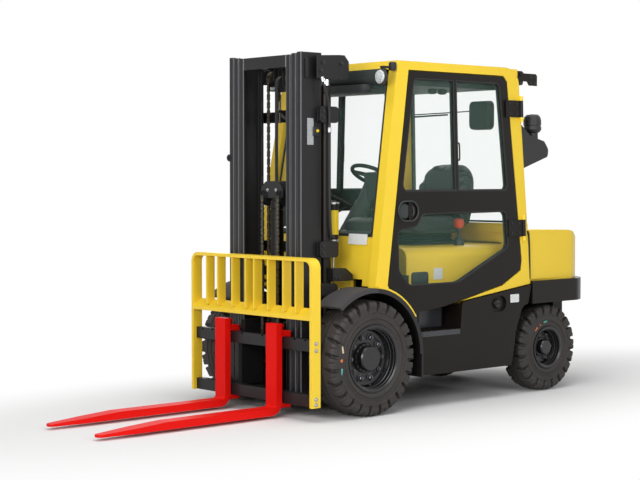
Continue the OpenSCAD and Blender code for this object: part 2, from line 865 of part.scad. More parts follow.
// Dashboard with an instrument pod, and the steering column in its cowling with its two stalks
module dash() {
    color("#1b1d1f") place() union() {
        between(post_t + 6) side(-frame_half, frame_half) polygon(rounded([
            [cowl_in(sill_z - 20), sill_z - 20], [cowl_in(sill_z - 160), sill_z - 160],
            [-250, sill_z - 200], [-330, sill_z - 90], [-330, sill_z + 20], [-180, sill_z + 40]],
            [0, 0, 30, 40, 40, 60]));
        side(pod_y0, pod_y1) polygon(softened([
            [-200, sill_z - 60], [-345, sill_z - 60], [-372, sill_z + 30], [-300, sill_z + 120],
            [-225, sill_z + 95]], 24));
        translate([column_x, 0, column_z]) rotate([0, column_a, 0]) {
            cylinder(r1 = 88, r2 = 50, h = column_len * 0.62);
            cylinder(r = 42, h = column_len - 40);
            for (s = [-1, 1])
                translate([0, 0, column_len - 92]) rotate([s * 78, 0, 0])
                    cylinder(r1 = 9, r2 = 6, h = 170);
        }
    }
}

// Instrument pod left of the column
pod_y0 = 150;
pod_y1 = 380;

module steering_wheel() {
    color("#17181a") place() translate([wheel_hub_x, 0, wheel_hub_z]) rotate([0, column_a, 0]) union() {
        rotate_extrude($fn = 64) translate([150, 0]) circle(r = 13, $fn = 24);
        translate([0, 0, -40 + seat_gap]) rotate_extrude() polygon([
            [0, 0], [38, 0], [38, 22], [56, 34], [56, 42], [44, 50], [0, 52]]);
        for (a = [0, 120, 240])
            rotate([0, 0, a + 60]) translate([0, 0, -9]) linear_extrude(height = 14)
                polygon([[30, -26], [144, -12], [144, 12], [30, 26]]);
    }
}

// Seat: slide plate, bellows over the springs, a cushion with raised sides,
// and a back that narrows to its top
module seat() {
    color("#1c1d1f") place() union() {
        box([-1230, -195, hood_z + seat_gap], [-790, 195, hood_z + 14]);
        front(-1210, -810) polygon(concat(
            [for (i = [0:bellows]) [180 - (i % 2) * 14, hood_z + 13 + i * (cushion_low - 13) / bellows]],
            [for (i = [bellows:-1:0]) [(i % 2) * 14 - 180,
            hood_z + 13 + i * (cushion_low - 13) / bellows]]));
        intersection() {
            side(-250, 250) polygon(rounded([
                [-1240, hood_z + cushion_low - 1], [-760, hood_z + cushion_low - 1], [-732, hood_z + 130],
                [-770, hood_z + 192],
                [-1240, hood_z + 168]], [20, 20, 30, 40, 0]));
            front(-1300, -700) polygon(softened([
                [-250, hood_z + 60], [250, hood_z + 60], [250, hood_z + 160], [222, hood_z + 192],
                [196, hood_z + 192],
                [150, hood_z + 172], [-150, hood_z + 172], [-196, hood_z + 192], [-222, hood_z + 192],
                [-250, hood_z + 160]], 12));
        }
        translate([-1190, 0, hood_z + 150]) rotate([0, -9, 0]) intersection() {
            side(-260, 260) polygon(softened([
                [-100, -30], [-12, -30], [0, 90], [-20, 300], [-34, back_h - 20], [-78, back_h],
                [-108, back_h - 70], [-112, 90]], 18));
            front(-120, 10) polygon(softened([
                [-225, -30], [225, -30], [248, 110], [222, 300], [140, back_h], [-140, back_h],
                [-222, 300], [-248, 110]], 60));
        }
    }
}

bellows = 6;
cushion_low = 72;
back_h = 420;

// Arm rest box with three lift levers
module console() {
    color("#202224") place() union() {
        side(-400, -290) polygon(softened([
            [-1180, hood_z + seat_gap], [-800, hood_z + seat_gap], [-770, hood_z + 150],
            [-800, hood_z + 226], [-890, hood_z + 230],
            [-930, hood_z + 205], [-1190, hood_z + 205]], 18));
        for (i = [0:2])
            translate([-815 - i * 34, -345, hood_z + 222]) rotate([0, 12, 0]) rotate_extrude() polygon([
                [0, 0], [6, 0], [5, 42], [12, 52], [13, 66], [8, 76], [0, 78]]);
    }
}

// Lamps, set in from the cab's sides
lamp_y = side_y - 75;
lamp_z = header_z - 51;
lamp_r = 50;
lamp_x = -160;
rear_lamp_y = side_y - 140;

module work_lamps() {
    color("#232427") place() both() union() {
        translate([lamp_x, lamp_y, lamp_z]) rotate([0, -90, 0]) rotate_extrude() polygon([
            [0, 5], [lamp_r - 6, 5], [lamp_r - 6, 0], [lamp_r, 2], [lamp_r, 20], [lamp_r - 8, 30],
            [24, 52], [0, 55]]);
        box([post_x(header_z + 4) + seat_gap, lamp_y - 15, header_z + 4],
            [lamp_x - 20, lamp_y + 15, header_z + 16]);
        side(lamp_y - 10, lamp_y + 10) polygon([
            [lamp_x - 20, header_z + 5], [lamp_x - 20, lamp_z + lamp_r - 6], [lamp_x - 40, lamp_z + 30],
            [lamp_x - 44, header_z + 5]]);
    }
}

module rear_lamps() {
    color("#232427") place() both() union() {
        side(rear_lamp_y - 20, rear_lamp_y + 20) polygon(softened([
            [-1408 - seat_gap, header_z - 10], [-1408 - seat_gap, header_z + 34], [-1480, header_z + 24],
            [-1480, header_z - 10]], 6));
        difference() {
            front(-1505, -1470) polygon(softened([
                [rear_lamp_y - 50, header_z - 50], [rear_lamp_y + 50, header_z - 50],
                [rear_lamp_y + 50, header_z + 30], [rear_lamp_y - 50, header_z + 30]], 16));
            front(-1506, -1500) polygon(softened([
                [rear_lamp_y - 42, header_z - 42], [rear_lamp_y + 42, header_z - 42],
                [rear_lamp_y + 42, header_z + 22], [rear_lamp_y - 42, header_z + 22]], 10));
        }
    }
}

// Duct behind the left rear post with its neck and the round cleaner bowl on top
module air_intake() {
    color("#1b1c1e") place() leaned() union() {
        side(side_y - 115, side_y - 5) polygon(rounded([
            [tail_x(1806) - seat_gap, 1806], [-1530, 1726], [-1668, 1694], [-1708, 1640], [-1700, 1590],
            [tail_x(1510) - seat_gap, 1510]], [0, 40, 30, 30, 24, 0]));
        translate([cleaner_x, side_y - 60, 1670]) rotate_extrude() polygon([
            [0, 0], [36, 0], [36, 80], [50, 88], [60, 104], [60, 120], [57, 124], [57, 130], [60, 134],
            [60, 168],
            [54, 190], [40, 204], [0, 210]]);
    }
}

cleaner_x = -1612;

// Window openings in a door, shrunk by g: two sliding panes above, one pane below
module door_windows(g) {
    difference() {
        offset(delta = -g) polygon(softened([
            [post_x(2071) - 155, 2066], [-1222, 2066], [-1282, 1362], [post_x(1362) - 150, 1362]], 42,
            4));
        translate([slider_x - slider_w / 2 - g, 1300]) square([slider_w + 2 * g, 900]);
    }
    offset(delta = -g) polygon(rounded([
        [-480, 1219], [-1262, 1228], [-1276, 985], [-791, 778], [-350, 778], [-262, 870], [-262, 1120],
        [-430, 1150]],
        [40, 40, 60, 160, 60, 60, 40, 40], 4));
}

// Bar between the sliding panes
slider_x = -799;
slider_w = 26;
// Door handle's recess
handle_x = -354;
handle_z = 1240;
handle_w = 168;
handle_h = 118;

module door_body() {
    leaned() difference() {
        side(side_y - door_t, side_y) difference() {
            door_outline(0);
            door_windows(0);
        }
        // Handle's recess
        side(side_y - 24, side_y + 1) translate([handle_x, handle_z]) oblong(handle_w, handle_h);
    }
    // Ring round the recess, and the pull lever inside it
    leaned() side(side_y - 1, side_y + 4) translate([handle_x, handle_z]) difference() {
        oblong(handle_w + 16, handle_h + 16);
        oblong(handle_w - 4, handle_h - 4);
    }
    leaned() side(side_y - 26, side_y - 6) translate([handle_x, handle_z]) intersection() {
        oblong(handle_w - 4, handle_h - 4);
        translate([-handle_w / 2, -handle_h / 2]) square([handle_w * 0.42, handle_h]);
    }
    // Hinge straps that reach over the rear post
    leaned() for (z = hinge_zs) {
        difference() {
            union() {
                box([hinge_x, side_y + 2, z - 55], [hinge_x + strap_l, side_y + 13, z + 55]);
                box([hinge_x + strap_l - 40, side_y - 1, z - 45],
                    [hinge_x + strap_l - 2, side_y + 3, z + 45]);
                translate([hinge_x, side_y + hinge_off, z - 55]) cylinder(r = 12, h = 110);
            }
            translate([hinge_x, side_y + hinge_off, z - 56]) cylinder(r = hinge_pin_r + pin_gap, h = 112);
        }
    }
}

hinge_x = -1420;
hinge_off = 14;
hinge_pin_r = 5;
hinge_zs = [1113, 1903];
strap_l = 150;

// The half of each door hinge that is fixed to the rear post
module post_hinges() {
    for (z = hinge_zs) {
        for (s = [-1, 1])
            translate([hinge_x, side_y + hinge_off, z + s * (70 + seat_gap) - 15]) {
                cylinder(r = 12, h = 30);
                translate([-8, -hinge_off - 1, 0]) cube([16, hinge_off, 30]);
            }
        translate([hinge_x, side_y + hinge_off, z - 80]) cylinder(r = hinge_pin_r, h = 160);
    }
}

module door_glass() {
    leaned() side(side_y - door_t / 2 - 3, side_y - door_t / 2 + 3) door_windows(seat_gap);
}

module left_door() {
    color("#1a1b1d") place() door_body();
}

module left_door_glass() {
    color([0.35, 0.55, 0.5, 0.4]) place() door_glass();
}

module right_door() {
    color("#1a1b1d") place() flip() door_body();
}

module right_door_glass() {
    color([0.35, 0.55, 0.5, 0.4]) place() flip() door_glass();
}

// Mast

function stage_y(k) = mast_half - k * rail_pitch;

// A pair of rails, open towards the middle
module rails(k, z0, z1) {
    both() difference() {
        box([mast_back, stage_y(k) - rail_w, z0], [mast_front, stage_y(k), z1]);
        box([mast_back + flange_t, stage_y(k) - rail_w - 1, z0 - 1],
            [mast_front - flange_t, stage_y(k) - web_t, z1 + 1]);
    }
}

// Rollers of stage k, running in the rails of the stage outside it
module rollers(k, heights) {
    both() for (z = heights)
        bar_y(rail_mid_x, z, stage_y(k) - 2, stage_y(k - 1) - web_t - 1.5, roller_r);
}

// A tie round the back of the lift cylinders, from one outer rail to the other
module tie(z0, z1, x) {
    both() side(tie_y, tie_y + tie_t) polygon(rounded([
        [x, z0], [mast_back + 40, z0], [mast_back + 40, z1], [x, z1]], [24, 24, 24, 24]));
    both() box([mast_back + 10, mast_half - 1, z0 + 8], [mast_back + 32, tie_y + 1, z1 - 8]);
    box([x, -tie_y - tie_t, z0 + 16], [x + 18, tie_y + tie_t, z1 - 16]);
}

module outer_mast() {
    color("#202124") place() difference() {
        union() {
            rails(0, mast_bottom, mast_top);
            tie(mast_bottom, mast_bottom + 80, tie_x);
            tie(960, 1060, tie_x);
            tie(1780, 1880, tie_x);
            tie(mast_top - 151, mast_top - 26, -12);
            // Foot under each lift cylinder
            both() box([tie_x, lift_y - lift_r, mast_bottom],
                [mast_back + 1, tie_y + 1, mast_bottom + 18]);
            // Arms back to the axle tube, outside the lift cylinders
            both() side(tie_y, tie_y + 20) {
                polygon([[0, axle_z - 60], [mast_back + 60, axle_z - 90], [mast_back + 60, axle_z + 130],
                    [0, axle_z + 80]]);
                translate([0, axle_z]) circle(r = 118);
            }
            both() box([mast_back + 10, mast_half - 1, axle_z - 60],
                [mast_back + 60, tie_y + 1, axle_z + 80]);
            // Ears for the tilt rods
            both() tilt_ear(tie_y + 1, tilt_y - tilt_eye / 2 - 1);
            both() tilt_ear(tilt_y + tilt_eye / 2 + 1, tilt_y + tilt_eye / 2 + 9);
            both() box([mast_back + 15, mast_half - 1, tilt_pz - 36],
                [mast_back + 60, tilt_y + tilt_eye / 2 + 9, tilt_pz + 36]);
            both() bar_y(tilt_px, tilt_pz, tie_y + 1, tilt_y + tilt_eye / 2 + 9, tilt_pin_r);
            // Brackets for the ends of the mast chains
            both() side(sheave_y - 20, sheave_y + 20) polygon(rounded([
                [tie_x + 17, anchor_z - 60], [tie_x + 17, anchor_z], [strand_x + chain_t / 2, anchor_z],
                [strand_x + chain_t / 2, anchor_z - 14]], [0, 0, 4, 4]));
            // Saddles that hold the lift cylinders to the upper tie
            both() box([tie_x + 17, lift_y - 14, 1800], [lift_x - lift_r - seat_gap, lift_y + 14, 1860]);
        }
        both() bar_y(0, axle_z, tie_y - 1, tie_y + 21, tube_r + seat_gap);
        both() translate([strand_x - 3, sheave_y, anchor_z - 70])
            cylinder(r = anchor_r + seat_gap, h = 80);
    }
}

module tilt_ear(y0, y1) {
    box([tilt_px, y0, tilt_pz - 36], [mast_back + 60, y1, tilt_pz + 36]);
    bar_y(tilt_px, tilt_pz, y0, y1, 36);
}

// Lift cylinder with its gland at the top and the oil port at the foot
module lift_barrels() {
    color("#1c1d1f") place() both() translate([lift_x, lift_y, mast_bottom + 18]) difference() {
        rotate_extrude() polygon([
            [0, 0], [lift_r, 0], [lift_r, 1826], [lift_r - 3, 1830], [lift_r - 3, 1836], [lift_r, 1840],
            [lift_r, 1872], [lift_r - 5, 1880], [0, 1880]]);
        translate([0, 0, 60]) cylinder(r = lift_rod_r + pin_gap, h = 2000);
    }
}

// Round-ended pressure bottle on the tie, with the elbow of its pipe below
module accumulator() {
    color("#1a1b1d") place() union() {
        translate([tie_x - 46, acc_y, 1030]) rotate_extrude() polygon([
            [0, 0], [22, 0], [34, 10], [40, 26], [40, 246], [36, 262], [24, 274], [10, 280], [0, 280]]);
        box([tie_x - 20, acc_y - 20, 1034], [tie_x - seat_gap, acc_y + 20, 1044]);
        translate([tie_x - 46, acc_y, 1004]) cylinder(r = pipe_r + 4, h = 30);
        translate([tie_x - 46 + pipe_bend, acc_y, 1010]) rotate([90, 180, 0])
            rotate_extrude(angle = 90) translate([pipe_bend, 0]) circle(r = pipe_r, $fn = 24);
        bar_x(acc_y, 1010 - pipe_bend, tie_x - 52 + pipe_bend, tie_x - seat_gap, pipe_r + 4);
    }
}

acc_y = 270;
pipe_r = 9;
pipe_bend = 24;

middle_top = mast_top - 6;

module middle_mast() {
    color("#26272a") place() difference() {
        union() {
            rails(1, mast_bottom + 6, middle_top);
            rollers(1, [mast_bottom + 86, mast_bottom + 346]);
            front(mast_back - 24, mast_back - 4) polygon(rounded([
                [-stage_y(1), middle_top - 74], [stage_y(1), middle_top - 74], [stage_y(1), middle_top],
                [-stage_y(1), middle_top]],
                [20, 20, 20, 20]));
            both() box([mast_back - 24, stage_y(1) - rail_w, middle_top - 74],
                [mast_back + 1, stage_y(1), middle_top]);
            front(mast_back - 24, mast_back - 4) polygon(rounded([
                [-stage_y(1), 460], [stage_y(1), 460], [stage_y(1), 540], [-stage_y(1), 540]],
                [20, 20, 20, 20]));
            both() box([mast_back - 24, stage_y(1) - rail_w, 460], [mast_back + 1, stage_y(1), 540]);
            // Caps over the lift rods
            both() box([lift_x - 28, stage_y(1) - 33, middle_top - 74],
                [mast_back - 6, lift_y + 26, middle_top - 44]);
            // Ears for the chain sheaves
            both() for (y = [sheave_y - 24, sheave_y + 16])
                side(y, y + 8) polygon(rounded([
                    [mast_back - 24, middle_top - 40], [mast_back - 24, sheave_z - 24],
                    [sheave_x + 20, sheave_z - 24],
                    [sheave_x + 20, middle_top - 40]], [0, 20, 20, 20]));
        }
        both() bar_y(sheave_x, sheave_z, sheave_y - 30, sheave_y + 30, 12 + pin_gap);
    }
}

module lift_rods() {
    color("#c9ccd0") place() both() translate([lift_x, lift_y, mast_bottom + 120])
        cylinder(r = lift_rod_r, h = middle_top - 74 - mast_bottom - 120);
}

sheave_x = mast_back + 9;
sheave_y = 93;
sheave_z = 2064;
sheave_r = 51;

// Chain sheave: two flanges and a groove as wide as the chain, on its pin
module sheave(r, w) {
    rotate([-90, 0, 0]) rotate_extrude() polygon([
        [0, -w / 2], [r, -w / 2], [r, -chain_w / 2 - 0.8], [r - chain_t - seat_gap, -chain_w / 2 - 0.8],
        [r - chain_t - seat_gap, chain_w / 2 + 0.8], [r, chain_w / 2 + 0.8], [r, w / 2], [0, w / 2]]);
}

// Leaf chain: width, thickness, and height of one leaf
chain_w = 24;
chain_t = 12;
leaf_h = 58;
leaf_in = 4;

// Fixed end of a mast chain: its bracket's top, its bolt, and the strand that comes down behind the sheave
anchor_z = 1872;
anchor_r = 7;
strand_x = sheave_x - sheave_r + chain_t / 2;

// A straight length of leaf chain, which narrows between its pins
module leaf_chain(x0, y, z0, z1) {
    n = 2 * round((z1 - z0) / (2 * leaf_h));
    h = (z1 - z0) / n;
    front(x0, x0 + chain_t) polygon(concat(
        [for (i = [0:n]) [y + chain_w / 2 - (i % 2) * leaf_in, z0 + i * h]],
        [for (i = [n:-1:0]) [y - chain_w / 2 + (i % 2) * leaf_in, z0 + i * h]]));
}

// The part of a chain that lies over a sheave
module chain_wrap(r) {
    rotate([-90, 0, 0]) rotate_extrude(angle = -180, $fn = 14) translate([r - chain_t, -chain_w / 2])
        square([chain_t, chain_w]);
}

module mast_sheaves() {
    color("#3a3b3d") place() both() translate([sheave_x, sheave_y, sheave_z]) {
        sheave(sheave_r, 31);
        bar_y(0, 0, -24, 24, 12);
    }
}

inner_top = mast_top - 12;

module inner_mast() {
    color("#26272a") place() union() {
        rails(2, mast_bottom + 8, inner_top);
        rollers(2, [mast_bottom + 86, mast_bottom + 346]);
        // Top bar with its pair of ribs
        box([mast_front - 34, -stage_y(2) + 20, inner_top - 74],
            [mast_front, stage_y(2) - 20, inner_top]);
        for (z = [inner_top - 52, inner_top - 26])
            box([mast_front - 48, -stage_y(2) + 20, z - 4], [mast_front - 33, stage_y(2) - 20, z + 4]);
        box([mast_back + 2, -stage_y(2) + 20, mast_bottom + 8],
            [mast_front - 10, stage_y(2) - 20, mast_bottom + 30]);
        box([mast_back + 2, -stage_y(2) + 20, mast_bottom + 8],
            [mast_back + 18, stage_y(2) - 20, mast_bottom + 120]);
        box([mast_back + 2, -stage_y(2) + 20, 330], [mast_back + 18, stage_y(2) - 20, 420]);
        // Clamp that steadies the free lift cylinder
        difference() {
            box([mast_back + 6, free_y - 62, 360], [free_x + free_r + 4, free_y + 62, 400]);
            translate([free_x, free_y, 359]) cylinder(r = free_r + seat_gap, h = 42);
            box([sheave_x + sheave_r - 18, sheave_y - 18, 359], [free_x, sheave_y + 18, 401]);
        }
    }
}

barrel_top = crosshead_top - 116;

module free_lift_barrel() {
    color("#1c1d1f") place() translate([free_x, free_y, mast_bottom + 30]) difference() {
        rotate_extrude() polygon([
            [0, 0], [free_r, 0], [free_r, gland_z - 30], [free_r - 4, gland_z - 26],
            [free_r - 4, gland_z - 20], [free_r, gland_z - 16],
            [free_r, gland_z + 26], [free_r - 6, gland_z + 34], [0, gland_z + 34]]);
        translate([0, 0, 200]) cylinder(r = free_rod_r + pin_gap, h = 2000);
    }
}

// Gland of the free lift cylinder, above its foot
gland_z = barrel_top - mast_bottom - 64;

// Each chain comes up from the inner mast, over its sheave, and down to its bolt on the outer mast
module mast_chains() {
    color("#54565a") place() both() union() {
        leaf_chain(sheave_x + sheave_r - chain_t, sheave_y, mast_bottom + 30, sheave_z);
        translate([sheave_x, sheave_y, sheave_z]) chain_wrap(sheave_r);
        leaf_chain(sheave_x - sheave_r, sheave_y, anchor_z + 40, sheave_z);
        translate([strand_x - 3, sheave_y, anchor_z - 50]) cylinder(r = anchor_r, h = 92, $fn = 14);
        translate([strand_x - 3, sheave_y, anchor_z]) cylinder(r = anchor_r + 4, h = 12, $fn = 6);
    }
}

// Rod of the free lift cylinder, the round-topped head on it, and the two chain sheaves
module crosshead() {
    color("#1a1b1d") place() union() {
        translate([free_x, free_y, mast_bottom + 260]) cylinder(r = free_rod_r,
            h = crosshead_top - 60 - mast_bottom - 260);
        front(free_x - 40, free_x + 42) polygon(rounded([
            [free_y - 105, crosshead_top - 105], [free_y + 105, crosshead_top - 105],
            [free_y + 105, crosshead_top - 50],
            [free_y + 62, crosshead_top], [free_y - 62, crosshead_top],
            [free_y - 105, crosshead_top - 50]],
            [14, 14, 40, 50, 50, 40]));
        for (s = [-1, 1])
            translate([free_x, free_y + s * lift_chain_y, cross_z]) sheave(cross_r, 28);
    }
}

// Crosshead's sheaves, and the lift chains' distance from the free lift cylinder
cross_z = crosshead_top - 95;
cross_r = free_r + 18;
lift_chain_y = 75;

// Carriage, backrest and forks

plate_y0 = 160;
plate_y1 = 190;
bar_x0 = fork_face - fork_t - 55;
bar_x1 = fork_face - fork_t - 10;
bar_h = 71;
// Fork stops along the upper bar, each side of the middle
notches = 5;
notch_pitch = 100;

module carriage() {
    color("#232427") place() union() {
        // Upper bar, with a notch in its edge at each fork stop
        difference() {
            box([bar_x0, -rest_half + rest_t, bar_high - bar_h], [bar_x1, rest_half - rest_t, bar_high]);
            for (i = [-notches:notches])
                if (i != 0) box([bar_x0 + 14, i * notch_pitch - 8, bar_high - 12],
                    [bar_x1 + 1, i * notch_pitch + 8, bar_high + 1]);
        }
        box([bar_x0, -rest_half + rest_t, bar_low], [bar_x1, rest_half - rest_t, bar_low + bar_h]);
        both() side(plate_y0, plate_y1) polygon([
            [rail_mid_x - 40, bar_low + 60], [mast_front + 4, bar_low + 60],
            [mast_front + 14, bar_low + 36],
            [bar_x0 + 1, bar_low + 36], [bar_x0 + 1, bar_high - 36],
            [bar_x0 - 24, bar_high - 36], [bar_x0 - 24, bar_high + 70],
            [rail_mid_x - 40, bar_high + 70]]);
        both() for (z = [bar_low + 124, bar_high])
            bar_y(rail_mid_x, z, plate_y1 - 2, stage_y(2) - web_t - 1.5, roller_r);
        // Lug for the lift chains
        box([free_x + cross_r - chain_t, -plate_y0 - 1, bar_high - 60],
            [free_x + cross_r + 18, plate_y0 + 1, bar_high - 30]);
    }
}

// Each chain comes up from the carriage to the front of its sheave on the crosshead
module lift_chains() {
    color("#54565a") place() for (s = [-1, 1])
        leaf_chain(free_x + cross_r - chain_t, free_y + s * lift_chain_y, bar_high - 30, cross_z);
}

rest_t = 20;
rest_x0 = fork_face - 100;
rest_x1 = fork_face - 30;

module rest_shape(g, low) {
    r = 60 - g;
    translate([-rest_half + g, low]) square([2 * (rest_half - g), rest_top - g - r - low]);
    translate([-rest_half + g + r, low]) square([2 * (rest_half - g - r), rest_top - g - low]);
    for (s = [-1, 1])
        translate([s * (rest_half - g - r), rest_top - g - r]) circle(r = r);
}

module load_backrest() {
    color("#f0b821") place() union() {
        front(rest_x0, rest_x1) difference() {
            rest_shape(0, bar_low - 2);
            rest_shape(rest_t, bar_low - 10);
        }
        side(-rest_half + rest_t - 1, rest_half - rest_t + 1) polygon([
            [rest_x1, 605], [rest_x1, 624], [rest_x0, 672], [rest_x0, 653]]);
        for (y = [-433, -319, -175, -42, 42, 175, 319, 433])
            box([rest_x0 + 4, y - 6, 645], [rest_x1 - 4, y + 6, rest_top - rest_t + 1]);
    }
}

heel_r = 80;
// Inside radius at the heel
heel_in = 16;

// A forged fork: shank, heel, a blade that thins and narrows to its tip,
// and the hooks that hang it on the bars
module fork() {
    color("#d6201c") translate([0, fork_y, 0]) union() {
        intersection() {
            side(-fork_w / 2, fork_w / 2) difference() {
                union() {
                    translate([fork_face - fork_t, 20 + heel_r])
                        square([fork_t, shank_top - 20 - heel_r]);
                    translate([fork_face - fork_t + heel_r, 20])
                        square([fork_len - heel_r - 0.01 + fork_t - 460, fork_t]);
                    intersection() {
                        translate([fork_face - fork_t + heel_r, 20 + heel_r]) circle(r = heel_r);
                        translate([fork_face - fork_t, 20]) square(heel_r);
                    }
                    polygon([[fork_tip - 461, 20], [fork_tip - 461, 20 + fork_t], [fork_tip, 34],
                        [fork_tip, 20]]);
                }
                translate([fork_face, 20 + fork_t]) difference() {
                    square(heel_r);
                    difference() {
                        square(heel_in);
                        translate([heel_in, heel_in]) circle(r = heel_in);
                    }
                }
            }
            linear_extrude(height = shank_top) polygon(rounded([
                [fork_face - fork_t - 1, -fork_w / 2 - 1], [fork_tip - 260, -fork_w / 2 - 1],
                [fork_tip, -fork_w / 2 + 20],
                [fork_tip, fork_w / 2 - 20], [fork_tip - 260, fork_w / 2 + 1],
                [fork_face - fork_t - 1, fork_w / 2 + 1]],
                [0, 400, 24, 24, 400, 0]));
        }
        // Upper and lower hooks on the carriage bars
        side(-fork_w / 2 + 8, fork_w / 2 - 8) {
            polygon([
                [fork_face - fork_t + 1, bar_high + seat_gap], [fork_face - fork_t + 1, bar_high + 44],
                [bar_x0 - 20, bar_high + 34], [bar_x0 - 20, bar_high - 28],
                [bar_x0 - seat_gap, bar_high - 28],
                [bar_x0 - seat_gap, bar_high + seat_gap]]);
            polygon([
                [fork_face - 22, bar_low - seat_gap], [fork_face - 22, bar_low - 30],
                [bar_x0 - 20, bar_low - 30], [bar_x0 - 20, bar_low + 22],
                [bar_x0 - seat_gap, bar_low + 22],
                [bar_x0 - seat_gap, bar_low - seat_gap]]);
        }
        // Latch knob on the upper hook
        translate([bar_x0 + 18, 0, bar_high + 36]) rotate_extrude() polygon([
            [0, 0], [9, 0], [9, 16], [15, 20], [15, 30], [11, 34], [0, 34]]);
    }
}

module left_fork() {
    place() fork();
}

module right_fork() {
    place() flip() fork();
}

// Tilt cylinders, drawn along their own line from the pin on the frame

module tilt_line() {
    translate([tilt_bx, tilt_y, tilt_bz]) rotate([0, -tilt_a, 0]) children();
}

module tilt_barrels() {
    color("#1c1d1f") place() both() tilt_line() difference() {
        union() {
            translate([20, 0, 0]) rotate([0, 90, 0]) rotate_extrude() polygon([
                [0, 0], [tilt_r - 10, 0], [tilt_r - 10, 18], [tilt_r, 26], [tilt_r, 262],
                [tilt_r - 3, 266], [tilt_r - 3, 274],
                [tilt_r, 278], [tilt_r, 304], [tilt_r - 6, 310], [0, 310]]);
            rotate([-90, 0, 0]) translate([0, 0, -tilt_eye / 2]) cylinder(r = 28, h = tilt_eye);
        }
        rotate([-90, 0, 0]) translate([0, 0, -50]) cylinder(r = tilt_pin_r + pin_gap, h = 100);
        bar_x(0, 0, 90, 400, tilt_rod_r + pin_gap);
    }
}

module tilt_rods() {
    color("#c9ccd0") place() both() tilt_line() difference() {
        union() {
            bar_x(0, 0, 150, tilt_len - 20, tilt_rod_r);
            translate([tilt_len, 0, 0]) rotate([-90, 0, 0]) translate([0, 0, -tilt_eye / 2])
                cylinder(r = 34, h = tilt_eye);
        }
        translate([tilt_len, 0, 0]) rotate([-90, 0, 0]) translate([0, 0, -50])
            cylinder(r = tilt_pin_r + 2, h = 100);
    }
}
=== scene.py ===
"""A counterbalance lift truck with a closed cab and a three-stage mast.

Run inside Blender. Metres, +X towards the fork tips, +Y to the driver's left, +Z up.
"""

from math import acos, cos, hypot, pi, radians, sin, tan

import bpy
import numpy as np
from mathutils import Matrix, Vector


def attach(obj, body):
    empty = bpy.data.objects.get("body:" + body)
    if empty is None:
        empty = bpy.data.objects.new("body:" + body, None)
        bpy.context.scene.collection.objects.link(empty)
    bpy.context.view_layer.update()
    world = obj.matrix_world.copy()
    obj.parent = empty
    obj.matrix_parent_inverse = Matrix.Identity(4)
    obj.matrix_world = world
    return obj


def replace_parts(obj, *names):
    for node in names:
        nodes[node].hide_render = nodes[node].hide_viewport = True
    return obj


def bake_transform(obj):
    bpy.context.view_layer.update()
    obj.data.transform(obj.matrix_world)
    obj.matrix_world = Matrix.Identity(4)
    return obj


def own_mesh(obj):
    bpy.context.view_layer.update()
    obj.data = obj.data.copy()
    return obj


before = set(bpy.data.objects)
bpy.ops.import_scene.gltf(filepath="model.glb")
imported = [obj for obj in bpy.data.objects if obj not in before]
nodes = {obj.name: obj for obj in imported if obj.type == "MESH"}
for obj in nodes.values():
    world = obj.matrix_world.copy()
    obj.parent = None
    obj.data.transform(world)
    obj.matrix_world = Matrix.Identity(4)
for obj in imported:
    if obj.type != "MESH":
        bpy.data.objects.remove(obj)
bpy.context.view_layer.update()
scene = bpy.context.scene
scene.view_settings.view_transform = "Standard"

# Camera: a long lens, low and ahead of the truck's left front corner, so the mast, the left door
# and both left wheels show.
camera = bpy.data.objects.new("camera", bpy.data.cameras.new("camera"))
camera.data.sensor_width = 36.0
camera.data.lens = 87.03
camera.location = (6.65055, 7.39739, 1.44775)
yaw, pitch = radians(48.51), radians(2.31)
level = -cos(pitch)
looking = Vector((level * cos(yaw), level * sin(yaw), -sin(pitch)))
camera.rotation_mode = "QUATERNION"
camera.rotation_quaternion = looking.to_track_quat("-Z", "Y")
scene.collection.objects.link(camera)
scene.camera = camera

# Studio: a pale seamless floor that keeps the truck's shadow, white further off. Large soft lamps
# stand over, beside, before and behind the truck.


def linear(code):
    """An sRGB hex colour as linear red, green, blue and alpha."""
    parts = [int(code[i:i + 2], 16) / 255 for i in (1, 3, 5)]
    return [c / 12.92 if c <= 0.04045 else ((c + 0.055) / 1.055) ** 2.4 for c in parts] + [1.0]


def add(material, kind, settings=None, **inputs):
    """One node with its settings; an input takes a value or another node's output."""
    tree = material.node_tree
    made = tree.nodes.new("ShaderNode" + kind)
    for key, value in (settings or {}).items():
        setattr(made, key, value)
    for key, value in inputs.items():
        numbered = key[0] == "i" and key[1:].isdigit()
        socket = made.inputs[int(key[1:])] if numbered else made.inputs[key.replace("_", " ")]
        if isinstance(value, bpy.types.NodeSocket):
            tree.links.new(value, socket)
        else:
            socket.default_value = value
    return made


def maths(material, operation, first, second=0.5):
    """The result of one arithmetic node."""
    return add(material, "Math", {"operation": operation}, i0=first, i1=second).outputs[0]


def seen(material):
    """1 for rays from the camera, off a mirror-like surface or through glass, 0 for other light."""
    path = add(material, "LightPath").outputs
    first = maths(material, "MAXIMUM", path["Is Camera Ray"], path["Is Glossy Ray"])
    return maths(material, "MAXIMUM", first, path["Is Transmission Ray"])


floor_half = 40
corners = [(u * floor_half, v * floor_half, 0) for u, v in ((-1, -1), (1, -1), (1, 1), (-1, 1))]
floor_mesh = bpy.data.meshes.new("studio_floor")
floor_mesh.from_pydata(corners, [], [(0, 1, 2, 3)])
studio_floor = bpy.data.objects.new("studio_floor", floor_mesh)
scene.collection.objects.link(studio_floor)
